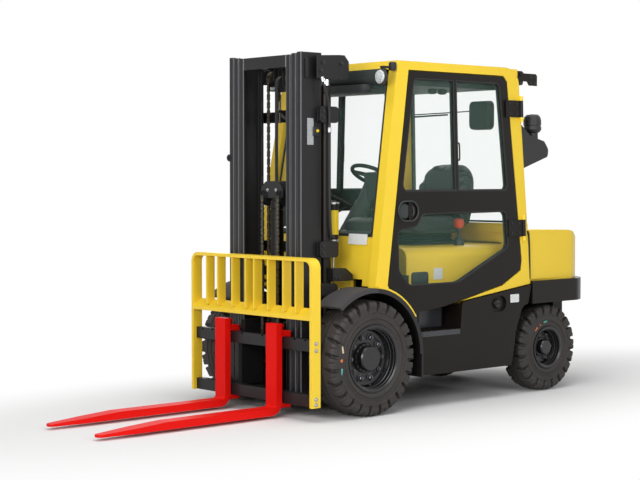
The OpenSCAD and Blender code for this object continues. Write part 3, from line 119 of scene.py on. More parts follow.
# Studio card: matte and lit by the lamps round the truck, white of itself further off
pale_card = bpy.data.materials.new("pale_studio_card")
pale_card.use_nodes = True
pale_card.node_tree.nodes.clear()
matte = add(pale_card, "BsdfDiffuse", Color=linear("#e4e4e4"))
lit_length, lit_width = 1.9, 0.75
around = add(pale_card, "Mapping", Scale=(1 / lit_length, 1 / lit_width, 1),
             Vector=add(pale_card, "TexCoord").outputs["Object"])
far = add(pale_card, "VectorMath", {"operation": "LENGTH"}, i0=around.outputs[0])
fade = add(pale_card, "MapRange", {"interpolation_type": "SMOOTHSTEP"},
           Value=far.outputs["Value"], From_Min=0.8, From_Max=2.6, To_Min=0.0, To_Max=1.0)
glow = add(pale_card, "Emission", Color=linear("#ffffff"), Strength=1.0)
lit = add(pale_card, "MixShader", i0=fade.outputs[0], i1=matte.outputs[0], i2=glow.outputs[0])
card = add(pale_card, "MixShader", i0=seen(pale_card), i1=matte.outputs[0], i2=lit.outputs[0])
add(pale_card, "OutputMaterial", Surface=card.outputs[0])
floor_mesh.materials.append(pale_card)

world = bpy.data.worlds.new("studio")
scene.world = world
world.use_nodes = True
world.node_tree.nodes.clear()
ambient = add(world, "Background", Color=linear("#ffffff"), Strength=0.12)
white = add(world, "Background", Color=linear("#ffffff"), Strength=1.0)
sky = add(world, "MixShader", i0=seen(world), i1=ambient.outputs[0], i2=white.outputs[0])
add(world, "OutputWorld", Surface=sky.outputs[0])

for name, place, aim, size, power in (
        ("overhead_lamp", (0.8, 1.0, 6.5), (0, 0, 0.8), (6.0, 5.0), 318),
        ("side_lamp", (0.5, 7.5, 3.5), (-0.3, 0, 1.0), (5.0, 3.0), 185),
        ("front_lamp", (7.2, 4.0, 2.8), (0.3, 0, 1.0), (4.0, 3.0), 370),
        ("back_lamp", (-6.0, -5.5, 4.0), (-0.5, 0, 1.0), (5.0, 3.0), 130)):
    lamp = bpy.data.objects.new(name, bpy.data.lights.new(name, "AREA"))
    lamp.data.shape = "RECTANGLE"
    lamp.data.size, lamp.data.size_y = size
    lamp.data.energy = power
    lamp.location = place
    lamp.rotation_mode = "QUATERNION"
    lamp.rotation_quaternion = (Vector(aim) - Vector(place)).to_track_quat("-Z", "Y")
    scene.collection.objects.link(lamp)

# Chassis: welded and pressed steel plate with cast axle parts, sprayed in black enamel. The tanks,
# steps, base and running gear share the finish.


def finish_of(name, **inputs):
    """A new material, its texture coordinates and its surface shader with the given values."""
    made = bpy.data.materials.new(name)
    made.use_nodes = True
    made.node_tree.nodes.clear()
    shader = add(made, "BsdfPrincipled", **inputs)
    add(made, "OutputMaterial", Surface=shader.outputs[0])
    return made, add(made, "TexCoord").outputs["Object"], shader


def join(material, output, shader, socket):
    """Feeds an output into one of a shader's inputs."""
    material.node_tree.links.new(output, shader.inputs[socket])


def toned(material, shader, share, first, second):
    """Colours a finish in two tones, mixed by a pattern."""
    mix = add(material, "Mix", {"data_type": "RGBA"}, i0=share, i6=first, i7=second)
    join(material, mix.outputs[2], shader, "Base Color")


def clouded(material, spot, shader, size, detail, deep, tone, **more):
    """Colours a finish in clouds of a size in metres, and gives their pattern back."""
    cloud = add(material, "TexNoise", Vector=spot, Scale=1 / size, Detail=detail, **more)
    toned(material, shader, cloud.outputs["Fac"], linear(deep), linear(tone))
    return cloud.outputs["Fac"]


def relief(material, shader, height, strength, depth, **normal):
    """Gives a finish its fine relief from a pattern."""
    bump = add(material, "Bump", Strength=strength, Distance=depth, Height=height, **normal)
    join(material, bump.outputs[0], shader, "Normal")


def grained(material, spot, shader, size, detail, strength, depth, **normal):
    """Gives a finish a grain of a size in metres."""
    grit = add(material, "TexNoise", Vector=spot, Scale=1 / size, Detail=detail)
    relief(material, shader, grit.outputs["Fac"], strength, depth, **normal)


def enamel(name, tone, deep, roughness, shine):
    """Sprayed enamel: close tones in 0.35 m clouds, soft rounded edges of 3 mm, and orange peel.
    The peel is about 2 mm across on the real paint, drawn as 6 mm to show at this distance."""
    made, spot, shader = finish_of(name, Roughness=roughness, Specular_IOR_Level=shine)
    clouded(made, spot, shader, 0.35, 3.0, deep, tone)
    soft = add(made, "Bevel", {"samples": 4}, Radius=0.003)
    grained(made, spot, shader, 0.006, 1.0, 0.05, 0.001, Normal=soft.outputs[0])
    return made


def dress(material, *names):
    """Gives CAD nodes their finish."""
    for name in names:
        nodes[name].data.materials.clear()
        nodes[name].data.materials.append(material)


# Black enamel: a deep, faintly brown black with a soft sheen
black_enamel = enamel("black_enamel", "#140f0b", "#0e0a07", 0.4, 0.2)
dress(black_enamel, "frame", "side_tanks", "steps", "floor", "weight_base", "tow_block",
      "axle_hangers", "rear_grille", "drive_axle", "steer_axle", "knuckle_left", "knuckle_right",
      "engine")

# Filler: a moulded polymer knob, screwed into the left tank's recess. Grip ribs stand round its
# edge.


def at(x, y, z):
    """A point in metres from millimetres, measured from the floor under the drive axle's middle,
    which lies 237.5 mm ahead of the frame's origin."""
    return Vector(((x + 237.5) / 1000, y / 1000, z / 1000))


def piece(name, shape, material, body, crease=35):
    """One object from points and faces, with sharp edges kept, riding on a body if given."""
    mesh = bpy.data.meshes.new(name)
    mesh.from_pydata([tuple(p) for p in shape[0]], [], shape[1])
    mesh.materials.append(material)
    mesh.shade_smooth()
    mesh.set_sharp_from_angle(angle=radians(crease))
    mesh.validate()
    made = bpy.data.objects.new(name, mesh)
    scene.collection.objects.link(made)
    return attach(made, body) if body else made


def loft(shape, rings):
    """Adds a closed skin through rings of points and closes both ends."""
    points, faces = shape
    start, n = len(points), len(rings[0])
    for ring in rings:
        points.extend(ring)
    for k in range(len(rings) - 1):
        for i in range(n):
            a, b = start + k * n + i, start + k * n + (i + 1) % n
            faces.append((a, b, b + n, a + n))
    faces.append(tuple(start + i for i in reversed(range(n))))
    faces.append(tuple(start + (len(rings) - 1) * n + i for i in range(n)))


def circle(n):
    """Angles of n even steps round a circle."""
    return [2 * pi * i / n for i in range(n)]


def ring_at(x, y, z, r, a):
    """A point on a ring of radius r about an axis across the truck."""
    return at(x + r * cos(a), y, z + r * sin(a))


def turn(shape, steps, foot, axis, sides=24):
    """Adds a turned form: (radius, height) steps in millimetres along an axis from its foot."""
    axis = Vector(axis).normalized()
    side = axis.orthogonal().normalized()
    up = axis.cross(side)
    loft(shape, [[foot + (axis * h + (side * cos(a) + up * sin(a)) * r) / 1000
                  for a in circle(sides)] for r, h in steps])


def tube(shape, route, r, sides=10, closed=False):
    """Adds a round tube of radius r millimetres along a route."""
    points, faces = shape
    n, start = len(route), len(points)
    side = None
    for i, p in enumerate(route):
        ahead = route[(i + 1) % n] if closed or i + 1 < n else p
        behind = route[i - 1] if closed or i else p
        run = (ahead - behind).normalized()
        side = (side - run * side.dot(run) if side else run.orthogonal()).normalized()
        up = run.cross(side)
        points.extend(p + (side * cos(a) + up * sin(a)) * (r / 1000)
                      for a in circle(sides))
    for i in range(n if closed else n - 1):
        a, b = start + i * sides, start + (i + 1) % n * sides
        for j in range(sides):
            faces.append((a + j, a + (j + 1) % sides, b + (j + 1) % sides, b + j))
    if not closed:
        faces.append(tuple(start + j for j in reversed(range(sides))))
        faces.append(tuple(start + (n - 1) * sides + j for j in range(sides)))


def moulded(name, tone, deep, roughness, grain, depth):
    """Moulded polymer or rubber: two close tones in 0.2 m clouds over a fine leather-like grain.
    The real grain is about 1 mm, drawn coarser so that it shows."""
    made, spot, shader = finish_of(name, Roughness=roughness, Specular_IOR_Level=0.4)
    clouded(made, spot, shader, 0.2, 4.0, deep, tone)
    grained(made, spot, shader, grain, 2.0, 0.3, depth)
    return made


# Black polymer: a dull black whose grain breaks up its sheen
black_polymer = moulded("moulded_black_polymer", "#232324", "#1a1a1b", 0.48, 0.004, 0.0006)
filler_x, filler_z, rib_ring = -1160, 622, 26
filler = ([], [])
turn(filler, [(26, 0), (27, 3), (27, 14), (22, 19), (8, 20)], at(filler_x, 578, filler_z),
     (0, 1, 0), 28)
for i in range(10):
    a = radians(36 * i)
    tube(filler, [ring_at(filler_x, y, filler_z, rib_ring, a) for y in (579, 592)], 3.4, 8)
piece("filler_knob", filler, black_polymer, "chassis")

# Counterweight and hood: a grey iron casting hung on the frame's rear, filled and sprayed yellow,
# and a pressed steel hood over the engine.
# Yellow enamel: a full, warm yellow with a soft gloss
yellow_enamel = enamel("yellow_enamel", "#f1cf39", "#edc930", 0.36, 0.42)
dress(yellow_enamel, "hood", "counterweight")

# Seam: an extruded rubber strip on each side, pressed into the joint between the cab and the
# counterweight.


def smooth(route, k=6):
    """Points on a curve through all points of a route."""
    ends = [2 * route[0] - route[1]] + route + [2 * route[-1] - route[-2]]
    out = []
    for a, b, c, d in zip(ends, ends[1:], ends[2:], ends[3:]):
        for i in range(k):
            t = i / k
            out.append(0.5 * (2 * b + (c - a) * t + (2 * a - 5 * b + 4 * c - d) * t * t
                              + (3 * b - a - 3 * c + d) * t ** 3))
    return out + [route[-1]]


# Seam rubber: a flat black with next to no shine
seam_rubber = moulded("extruded_seam_rubber", "#1c1c1c", "#151515", 0.7, 0.006, 0.0006)
seam = ([], [])
for s in (1, -1):
    tube(seam, smooth([at(-1486, s * 583, 770), at(-1484, s * 583, 900), at(-1480, s * 580, 1040),
                       at(-1468, s * 576, 1092)]), 7, 8)
piece("cab_seam", seam, seam_rubber, "chassis")

# Hood side: a moulded rest pad let into the steel on each side. A bare plate of thin enamelled
# sheet is stuck to the hood, and another to the tank's side.


def shapes(n):
    """Empty shapes, each with its points and faces."""
    return [([], []) for _ in range(n)]


def rounded(w, h, r, k=5):
    """Outline of a rectangle with round corners about its middle."""
    u, v = w / 2 - r, h / 2 - r
    out = []
    for q, (x, y) in enumerate(((u, v), (-u, v), (-u, -v), (u, -v))):
        for a in (radians(90 * (q + i / k)) for i in range(k + 1)):
            out.append((x + r * cos(a), y + r * sin(a)))
    return out


def plate(shape, outline, foot, across, thick, edge, up=(0, 0, 1)):
    """Adds a plate of an outline in millimetres about its foot, with its outer edge broken."""
    across, up = Vector(across), Vector(up)
    out = across.cross(up)
    reach = max(hypot(u, v) for u, v in outline)
    loft(shape, [[foot + (across * u * s + up * v * s + out * h) / 1000 for u, v in outline]
                 for h, s in ((0, 1), (thick - edge, 1), (thick, 1 - edge / reach))])


# Enamelled sheet: a cold white, scuffed in small spots
bare_plate, spot, shader = finish_of("enamelled_sheet", Roughness=0.35)
clouded(bare_plate, spot, shader, 0.015, 4.0, "#cfd2d2", "#e9ebea")
sheet, sheet_edge = 1.5, 0.6
pads, plates = shapes(2)
for s in (1, -1):
    plate(pads, rounded(150, 88, 22), at(-597, s * 431, 802), (-s, 0, 0), 9, 4)
for w, h, r, foot in ((82, 74, 6, at(-766, 431, 828)), (84, 54, 5, at(-1318, 600.5, 650))):
    plate(plates, rounded(w, h, r), foot, (-1, 0, 0), sheet, sheet_edge)
piece("hood_pad", pads, black_polymer, "chassis")
piece("side_plates", plates, bare_plate, "chassis")

# Tyres: solid rubber pressed on the rims and moulded in a two-part mould, with shoulder lugs, slots
# that run out down the sidewalls, two grooves round the middle and rings on the sidewalls.
# Tyre rubber: dull, faintly brown and clouded with dust
tyre_rubber, spot, shader = finish_of("moulded_tyre_rubber", Roughness=0.66,
                                      Specular_IOR_Level=0.45)
clouded(tyre_rubber, spot, shader, 0.09, 5.0, "#1b1817", "#35302e", Roughness=0.6)
grained(tyre_rubber, spot, shader, 0.005, 2.0, 0.3, 0.001)


def ramp(x, low, high):
    """A smooth step from 0 to 1 between two values."""
    t = np.clip((x - low) / (high - low), 0.0, 1.0)
    return t * t * (3 - 2 * t)


def tyre(name, r, w, bead, lugs, centre, mirror, body):
    """A lugged tyre about its centre: a grid of the moulded section, pressed in where the mould has
    its ribs. In millimetres, crown is the fall of the tread, shoulder the depth of the round beside
    it and flange the bead's height; flat is the tread's half width as a share of the tyre's."""
    crown, shoulder, flange, flat, lug_steps = 4, 34, 28, 0.37, 22
    half = [(a * w, r - crown * (a / flat) ** 2) for a in (
        0.0, 0.03, 0.07, 0.078, 0.102, 0.11, 0.14, 0.17, 0.2, 0.23, 0.26, 0.29, 0.32, 0.35)]
    for t in (0.0, 0.18, 0.36, 0.54, 0.72, 0.88, 1.0):
        bend = t * pi / 2
        half.append((w * (flat + 0.13 * sin(bend)),
                     r - crown - shoulder * (1 - cos(bend))))
    top = r - crown - shoulder
    wall = top - bead - flange
    for t, rise in ((0.16, 0), (0.3, 0), (0.33, 2.6), (0.4, 2.6), (0.43, -1), (0.55, -1), (0.7, -1),
                    (0.73, 2.4), (0.8, 2.4), (0.83, -2), (0.9, -2), (0.93, 2.4), (1, 2.2)):
        half.append((w / 2 - 2.6 + rise, top - t * wall))
    half += [(w * 0.485, bead + 16), (w * 0.46, bead + 5), (w * 0.42, bead)]
    section = np.array([(-a, q) for a, q in reversed(half[1:])] + half)
    slope = np.gradient(section, axis=0)
    inward = np.stack([slope[:, 1], -slope[:, 0]], axis=1)
    inward /= np.linalg.norm(inward, axis=1, keepdims=True)
    steps = lugs * lug_steps
    angle = np.arange(steps) * 2 * np.pi / steps
    pitch_mm = 2 * np.pi * r / lugs
    along = ((angle * lugs / (2 * np.pi)) % 1.0 - 0.5)[None, :] * pitch_mm
    a, q = np.abs(section[:, 0])[:, None], section[:, 1][:, None]
    # Slots between the lugs, slanted and wider outwards
    slant = (a - flat * w) * 0.22 + (r - q) * 0.1
    wide = 5 + 6 * ramp(a, 0.16 * w, 0.4 * w)
    deep = 22 * ramp(a, 0.14 * w, 0.2 * w) * ramp(q, r - 80, r - 46)
    press = deep * (1 - ramp(np.abs(along - slant), wide - 2, wide + 2))
    # A notch in each lug's shoulder, and the grooves round the middle
    notch = 6 * ramp(a, 0.3 * w, 0.36 * w) * ramp(q, r - 40, r - 30)
    press = np.maximum(press, notch * (1 - ramp(np.abs(np.abs(along) - pitch_mm / 2), 2, 5)))
    groove = 7 * ramp(a, 0.07 * w, 0.078 * w) * (1 - ramp(a, 0.102 * w, 0.11 * w))
    press = np.maximum(press, groove)
    axial = section[:, 0][:, None] + press * inward[:, 0][:, None]
    out = q + press * inward[:, 1][:, None]
    side = -1 if mirror else 1
    place = np.stack([out * np.cos(angle), side * axial, -out * np.sin(angle)], axis=2) / 1000
    points = (place + np.array(centre)).reshape(-1, 3).tolist()
    rows = len(section)
    faces = []
    for k in range(rows):
        up = (k + 1) % rows
        for i in range(steps):
            j = (i + 1) % steps
            face = (k * steps + i, up * steps + i, up * steps + j, k * steps + j)
            faces.append(face if mirror else face[::-1])
    return piece(name, (points, faces), tyre_rubber, body, 40)


drive_r, steer_r, steer_x = 353, 294, -1700
hands = (("left", 1), ("right", -1))
for hand, s in hands:
    for axle, r, w, bead, lugs, x, y in (("drive", drive_r, 227, 200.3, 24, 0, 531.5),
                                         ("steer", steer_r, 175, 137.3, 20, steer_x, 478.5)):
        tread = tyre(f"{axle}_tread_{hand}", r, w, bead, lugs, at(x, s * y, r), s < 0,
                     f"{axle}_wheel_{hand}")
        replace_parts(tread, f"{axle}_tyre_{hand}")

# Tyre marks: dabs of stamping paint that the tyre shop puts on the sidewalls of the left wheels.
# Each has its wheel, place, lean in degrees, length and width. The paint is flat and patchy.
for name, tone, spots in (
        ("cream_marks", "#d8c8a2", [("drive", 259, 426, 100, 44, 13)]),
        ("orange_marks", "#e0772a", [("drive", 267, 362, 0, 20, 20),
                                     ("steer", -1582, 424, 52, 36, 11),
                                     ("steer", -1624, 448, 0, 16, 16)]),
        ("teal_marks", "#4fb3a6", [("drive", 266, 296, 82, 40, 11),
                                   ("steer", -1674, 470, 15, 38, 10)])):
    paint, spot, shader = finish_of("stamped_" + name, Roughness=0.6)
    patch = add(paint, "TexNoise", Vector=spot, Scale=1 / 0.012, Detail=3.0)
    toned(paint, shader, patch.outputs["Fac"], linear(tone), [c * 0.8 for c in linear(tone)])
    for axle, y in (("drive", 642.6), ("steer", 563.6)):
        dabs = ([], [])
        for wheel, x, z, lean, long, wide in spots:
            if wheel == axle:
                c, d = cos(radians(lean)), sin(radians(lean))
                plate(dabs, rounded(long, wide, wide / 2 - 0.5), at(x, y, z), (-c, 0, d), 1.0, 0.4,
                      (d, 0, c))
        if dabs[0]:
            piece(f"{name}_{axle}", dabs, paint, f"{axle}_wheel_left")

# Rims: pressed and welded steel, held by nuts on the hubs' studs, with rolled lock rings inside the
# edge. The drive hubs have a ring of small screws, a centre mark and a valve stem.


def bolt(shape, foot, axis, r):
    """Adds a washer and a hexagon head with a chamfered top."""
    turn(shape, [(r * 1.45, 0), (r * 1.45, r * 0.22)], foot, axis, 18)
    turn(shape, [(r, r * 0.2), (r, r * 0.8), (r * 0.84, r)], foot, axis, 6)


# Powder coat: a glassy black with a fine fleck
rim_coat, spot, shader = finish_of("gloss_black_powder_coat", Roughness=0.26,
                                   Specular_IOR_Level=0.5)
fleck = clouded(rim_coat, spot, shader, 0.006, 2.0, "#111113", "#1a1a1c")
relief(rim_coat, shader, fleck, 0.02, 0.0006)
dress(rim_coat, "drive_rim_left", "drive_rim_right", "steer_rim_left", "steer_rim_right")
# Oil-blackened steel: forged nuts that glint darkly
nut_steel, spot, shader = finish_of("oil_blackened_steel", Metallic=1.0, Roughness=0.3)
clouded(nut_steel, spot, shader, 0.008, 3.0, "#454549", "#6b6b70")
screw_ring = 85
for hand, s in hands:
    out = (0, s, 0)
    screws = ([], [])
    for a in circle(16):
        bolt(screws, ring_at(0, s * 570.5, drive_r, screw_ring, a), out, 5)
    turn(screws, [(6, 0), (6, 1.5), (4, 2.5)], at(0, s * 615.4, drive_r), out, 16)
    tube(screws, smooth([at(0, s * 560, drive_r - 172), at(0, s * 580, drive_r - 166),
                         at(0, s * 604, drive_r - 160)]), 6, 10)
    piece(f"drive_hub_screws_{hand}", screws, rim_coat, f"drive_wheel_{hand}")
    for axle, x, z, rings in (("drive", 0, drive_r, ((186, 618, 6), (180, 594, 6))),
                              ("steer", steer_x, steer_r, ((124, 540, 5), (118, 522, 5)))):
        lock = ([], [])
        for q, y, r in rings:
            tube(lock, [ring_at(x, s * y, z, q, a) for a in circle(64)], r, 8, True)
        piece(f"{axle}_lock_rings_{hand}", lock, rim_coat, f"{axle}_wheel_{hand}")
    for axle, x, y, z, count, ring, r in (("drive", 0, 557.5, drive_r, 10, 128, 17.5),
                                          ("steer", steer_x, 494.5, steer_r, 6, 92, 14)):
        nuts = ([], [])
        for a in circle(count):
            foot = ring_at(x, s * y, z, ring, a)
            turn(nuts, [(r * 1.3, 0), (r * 1.3, 2.5), (r * 1.2, 3)], foot, out, 20)
            turn(nuts, [(r, 2), (r, r * 1.02), (r * 0.82, r * 1.19)], foot, out, 6)
            turn(nuts, [(r * 0.47, r), (r * 0.47, r * 1.7), (r * 0.38, r * 1.76)], foot, out, 12)
        piece(f"{axle}_wheel_nuts_{hand}", nuts, nut_steel, f"{axle}_wheel_{hand}")

# Fenders: a pressed steel arch behind, sprayed black and edged by a yellow lip, and a moulded
# rubber flap bolted over the front of the tyre.
# Arch and flap: soft black sheen on the steel, dull dark grey on the rubber ahead of the line
fender_skin, spot, shader = finish_of("arch_steel_and_flap_rubber", Specular_IOR_Level=0.35)
flap_line = 0.2
place = add(fender_skin, "SeparateXYZ", Vector=spot)
flap = maths(fender_skin, "GREATER_THAN", place.outputs["X"], flap_line)
rough = add(fender_skin, "MapRange", Value=flap, To_Min=0.4, To_Max=0.72)
toned(fender_skin, shader, flap, linear("#171516"), linear("#3a383a"))
join(fender_skin, rough.outputs[0], shader, "Roughness")
grained(fender_skin, spot, shader, 0.005, 2.0, 0.2, 0.0006)
dress(fender_skin, "fenders")
lip_section = ((425.6, 594), (436, 594), (438, 597), (438, 633), (436, 636), (425.6, 636))
lips = ([], [])
for s in (1, -1):
    loft(lips, [[ring_at(0, s * y, drive_r, r, radians(96 + 3 * i)) for r, y in lip_section]
                for i in range(18)])
piece("fender_lips", lips, yellow_enamel, "chassis")

# Steps: moulded liners in two panels clipped to the riser, and a ribbed rubber strip along the
# tread's outer edge.
# Gloss polymer: a smooth grey that catches the light
step_liner = moulded("moulded_gloss_polymer", "#37383d", "#2c2d31", 0.24, 0.01, 0.0004)
# Grip rubber: a dull mid grey
grip_rubber = moulded("moulded_grip_rubber", "#4a4b4f", "#37383b", 0.6, 0.004, 0.0006)
liners, strips = shapes(2)
strip_section = ((600.4, 450), (603, 450), (603, 480), (600.4, 482))
for s in (1, -1):
    for x0, x1 in ((-450, -566), (-574, -786)):
        plate(liners, rounded(x0 - x1, 150, 8), at((x0 + x1) / 2, s * 440.6, 562), (-s, 0, 0),
              4, 2)
    loft(strips, [[at(x, s * y, z) for y, z in strip_section] for x in (-436, -600, -792)])
    for i in range(24):
        x = -446 - i * 14.6
        tube(strips, [at(x - 5, s * 603, 452), at(x + 5, s * 603, 480)], 2.6, 6)
piece("step_liners", liners, step_liner, "chassis")
piece("step_grip_strips", strips, grip_rubber, "chassis")

# Cab: a welded frame of pressed yellow steel bolted to the floor, with a black roof panel, a bare
# plate on the cowl and a moulded headliner with two lamps clipped under the roof.


def swell(shape, outline, steps, place):
    """Adds a closed form of one outline, at each (height, scale) step; place() sets its points."""
    loft(shape, [[place(u * k, v * k, h) for u, v in outline] for h, k in steps])


dress(yellow_enamel, "cowl", "cab_frame")
dress(black_enamel, "roof_panel")
plates = ([], [])
plate(plates, rounded(170, 66, 6), at(-113, 372, 1066), (0, 1, 0), sheet, sheet_edge,
      (-0.131, 0, 0.991))
piece("cowl_plate", plates, bare_plate, "chassis")
# Grey polymer: a dark, greenish grey, half dull
grey_polymer = moulded("moulded_grey_polymer", "#2f3534", "#262b2a", 0.55, 0.004, 0.0006)
headliner = ([], [])
outline = [(-540, -452), (540, -452), (548, -440), (548, 440), (540, 452), (-540, 452), (-548, 440),
           (-548, -440)]
loft(headliner, [[at(-790 + u * k, v * m, z) for u, v in outline] for z, k, m in (
    (2122, 1.0, 1.0), (2066, 1.0, 0.99), (2044, 0.99, 0.98), (2030, 0.965, 0.955))])
swell(headliner, rounded(220, 640, 60), ((2032, 1.0), (2000, 1.0), (1984, 0.96), (1978, 0.88)),
      lambda u, v, z: at(-330 + u, v, z))
for x in (-943, -1038):
    turn(headliner, [(30, 0), (30, 18), (26, 28), (14, 32)], at(x, 200, 2031), (0, 0, -1), 24)
piece("headliner", headliner, grey_polymer, "chassis")

# Windows: toughened safety glass, cut to the frame and bedded in rubber seals.
# Safety glass: nearly clear, with a faint green tint and sharp reflections
safety_glass, spot, shader = finish_of("tinted_safety_glass", Roughness=0.03,
                                       Specular_IOR_Level=0.5, Alpha=0.035)
clouded(safety_glass, spot, shader, 0.4, 2.0, "#96d2bd", "#a4dcc8")
dress(safety_glass, "windscreen", "rear_window", "left_door_glass", "right_door_glass")

# Doors: a one-piece black pressing round two sliding panes and a lower pane, hung on two strap
# hinges. Rubber seals frame the panes; a grey ring and a paddle sit in the handle's recess.


def leaned(x, y, z, s=1):
    """A point on the cab's side, which leans in by 2 degrees from a line along its foot."""
    lean, foot_y, foot_z = radians(2), 590, 700
    c, d, out, up = cos(lean), sin(lean), y - foot_y, z - foot_z
    return at(x, s * (foot_y + out * c - up * d), foot_z + out * d + up * c)


def softened(corners, radii, k=5):
    """A closed outline with its corners rounded."""
    out, n = [], len(corners)
    for i, (p, r) in enumerate(zip(corners, radii)):
        p, a, b = Vector(p), Vector(corners[i - 1]), Vector(corners[(i + 1) % n])
        u, v = (a - p).normalized(), (b - p).normalized()
        turn_by = acos(max(-1, min(1, u.dot(v))))
        cut = r / tan(turn_by / 2)
        middle = p + (u + v).normalized() * (r / sin(turn_by / 2))
        e, f = p + u * cut - middle, p + v * cut - middle
        for t in (j / k for j in range(k + 1)):
            out.append(middle + (e * (1 - t) + f * t).normalized() * r)
    return out


post_rake = 0.1665


def post_x(z):
    """Front face of the raked front posts at a height."""
    return -63 - (z - 793) * post_rake


dress(black_enamel, "left_door", "right_door")
pane_top, pane_low, bar_front, bar_rear = 2066, 1362, -786, -812
panes = [softened([(post_x(2071) - 155, pane_top), (bar_front, pane_top), (bar_front, pane_low),
                   (post_x(pane_low) - 150, pane_low)], [42, 8, 8, 42]),
         softened([(bar_rear, pane_top), (-1222, pane_top), (-1282, pane_low),
                   (bar_rear, pane_low)], [8, 42, 42, 8]),
         softened([(-480, 1219), (-1262, 1228), (-1276, 985), (-791, 778), (-350, 778), (-262, 870),
                   (-262, 1120), (-430, 1150)], [40, 40, 60, 160, 60, 60, 40, 40])]
recess = rounded(172, 122, 60.9, 10)
for hand, s in hands:
    seals, handle, hinges = shapes(3)
    for pane in panes:
        for y, r in ((586, 6), (558, 5)):
            tube(seals, [leaned(x, y, z, s) for x, z in pane], r, 8, True)
    # Sill channel under the sliding panes, and the pull of the rear pane
    tube(seals, [leaned(x, 584, 1366, s) for x in (-330, -800, -1270)], 8, 8)
    tube(seals, smooth([leaned(-830, 574, 1560, s), leaned(-836, 582, 1570, s),
                        leaned(-836, 582, 1660, s), leaned(-830, 574, 1670, s)]), 5, 8)
    piece(f"{hand}_door_seals", seals, seam_rubber, f"{hand}_door")
    tube(handle, [leaned(-354 + u, 593, 1240 + v, s) for u, v in recess], 5, 10, True)
    tube(handle, smooth([leaned(-395, 575, 1200, s), leaned(-408, 583, 1225, s),
                         leaned(-408, 583, 1255, s), leaned(-395, 575, 1280, s)]), 6, 10)
    plate(handle, rounded(88, 96, 40), leaned(-334, 568, 1240, s), (-s, 0, 0), 12, 4)
    piece(f"{hand}_door_handle", handle, grey_polymer, f"{hand}_door")
    for z in (1113, 1903):
        for dx, dz in ((45, -32), (45, 32), (118, -32), (118, 32)):
            bolt(hinges, leaned(-1420 + dx, 603, z + dz, s), (0, s, 0), 6)
    piece(f"{hand}_door_hinge_bolts", hinges, black_polymer, f"{hand}_door")

# Screens: rubber beads round the windscreen and the rear window, extruded trims on the rear posts,
# and a wiper on each screen. The rear wiper's motor sits in a moulded box inside the window.


def tail_x(z):
    """Rear edge of the rear posts at a height."""
    return -1412 - (2108 - z) * 0.0589


beads, trims, wipers, motor = shapes(4)
for low, edge, inset in ((1092, post_x, -22), (1150, tail_x, 22)):
    rim = softened([(-478, low), (478, low), (444, 2108), (-444, 2108)], [30, 30, 30, 30])
    tube(beads, [at(edge(z) + inset, y, z) for y, z in rim], 7, 8, True)
piece("screen_beads", beads, seam_rubber, "chassis")
trim_section = ((-1, 494), (-1, 534), (-22, 530), (-30, 520), (-30, 498))
for s in (1, -1):
    loft(trims, [[at(tail_x(z) + u, s * (y - (z - 1150) * 0.035), z) for u, y in trim_section]
                 for z in (1150, 1500, 1800, 2060)])
piece("rear_post_trims", trims, black_polymer, "chassis")
turn(wipers, [(22, 0), (22, 16), (15, 24)], at(post_x(1100) - 24, -60, 1110),
     (1, 0, post_rake), 20)
for inset, run in ((8, ((-60, 1112), (60, 1190), (230, 1262))),
                   (16, ((25, 1350), (150, 1312), (285, 1270)))):
    tube(wipers, [at(post_x(z) - inset, y, z) for y, z in run], 6, 8)
tube(wipers, smooth([at(-1385, 200, 1905), at(-1390, 60, 1900), at(-1389, -200, 1896),
                     at(-1388, -415, 1893)]), 4, 8)
tube(wipers, [at(-1392, -90, 1884), at(-1391, -415, 1878)], 6, 8)
piece("wipers", wipers, black_polymer, "chassis")
swell(motor, rounded(190, 196, 34), ((-1386, 0.96), (-1380, 1.0), (-1338, 0.97), (-1326, 0.86)),
      lambda u, v, x: at(x, 258 + u, 1868 + v))
piece("rear_wiper_motor", motor, grey_polymer, "chassis")

# Dash, levers and wheel: polymer mouldings screwed to the cowl and the floor, with a display on an
# arm from the left front post. The steering wheel is foamed round a steel ring.
dress(grey_polymer, "dash", "console")
# Wheel skin: a dull black, finer in grain than the dash
wheel_skin = moulded("foamed_wheel_skin", "#1b1e1e", "#131515", 0.62, 0.003, 0.0005)
dress(wheel_skin, "steering_wheel")
lever, pod, knob = shapes(3)
lever_x, lever_y = -1067, 330
lever_foot = at(lever_x, lever_y, 1001)
turn(lever, [(34, 0), (34, 30), (26, 44), (18, 52)], lever_foot, (0, 0, 1), 24)
turn(lever, [(11, 40), (11, 120)], lever_foot, (0, 0, 1), 16)
piece("brake_lever", lever, black_polymer, "chassis")
plate(pod, rounded(128, 176, 14), at(-262, 345, 1392), (0, -1, 0), 32, 8, (0.17, 0, 0.985))
tube(pod, smooth([at(-272, 392, 1340), at(-262, 430, 1322), at(-252, 462, 1312)]), 11, 12)
turn(pod, [(14, 0), (14, 10), (10, 16)], at(-262, 440, 1318), (1, 0, 0), 16)
piece("display_pod", pod, grey_polymer, "chassis")
# Red polymer: an orange red, half shiny
red_polymer = moulded("moulded_red_polymer", "#d8481f", "#c63d18", 0.4, 0.004, 0.0004)
turn(knob, [(14, 0), (30, 12), (36, 34), (30, 56), (14, 66)], at(lever_x, lever_y, 1112),
     (0, 0, 1), 28)
piece("brake_knob", knob, red_polymer, "chassis")

# Seat: foam pads under sewn vinyl, with piping along the seams, on a sprung base that stands on the
# hood inside rubber bellows.
# Vinyl: a soft black with a leather-like grain and a faint sheen
vinyl, spot, shader = finish_of("sewn_black_vinyl", Roughness=0.52, Sheen_Weight=0.08)
clouded(vinyl, spot, shader, 0.12, 3.0, "#1a1f1f", "#262b2b")
grain = add(vinyl, "TexVoronoi", Vector=spot, Scale=1 / 0.004)
relief(vinyl, shader, grain.outputs["Distance"], 0.3, 0.0006)


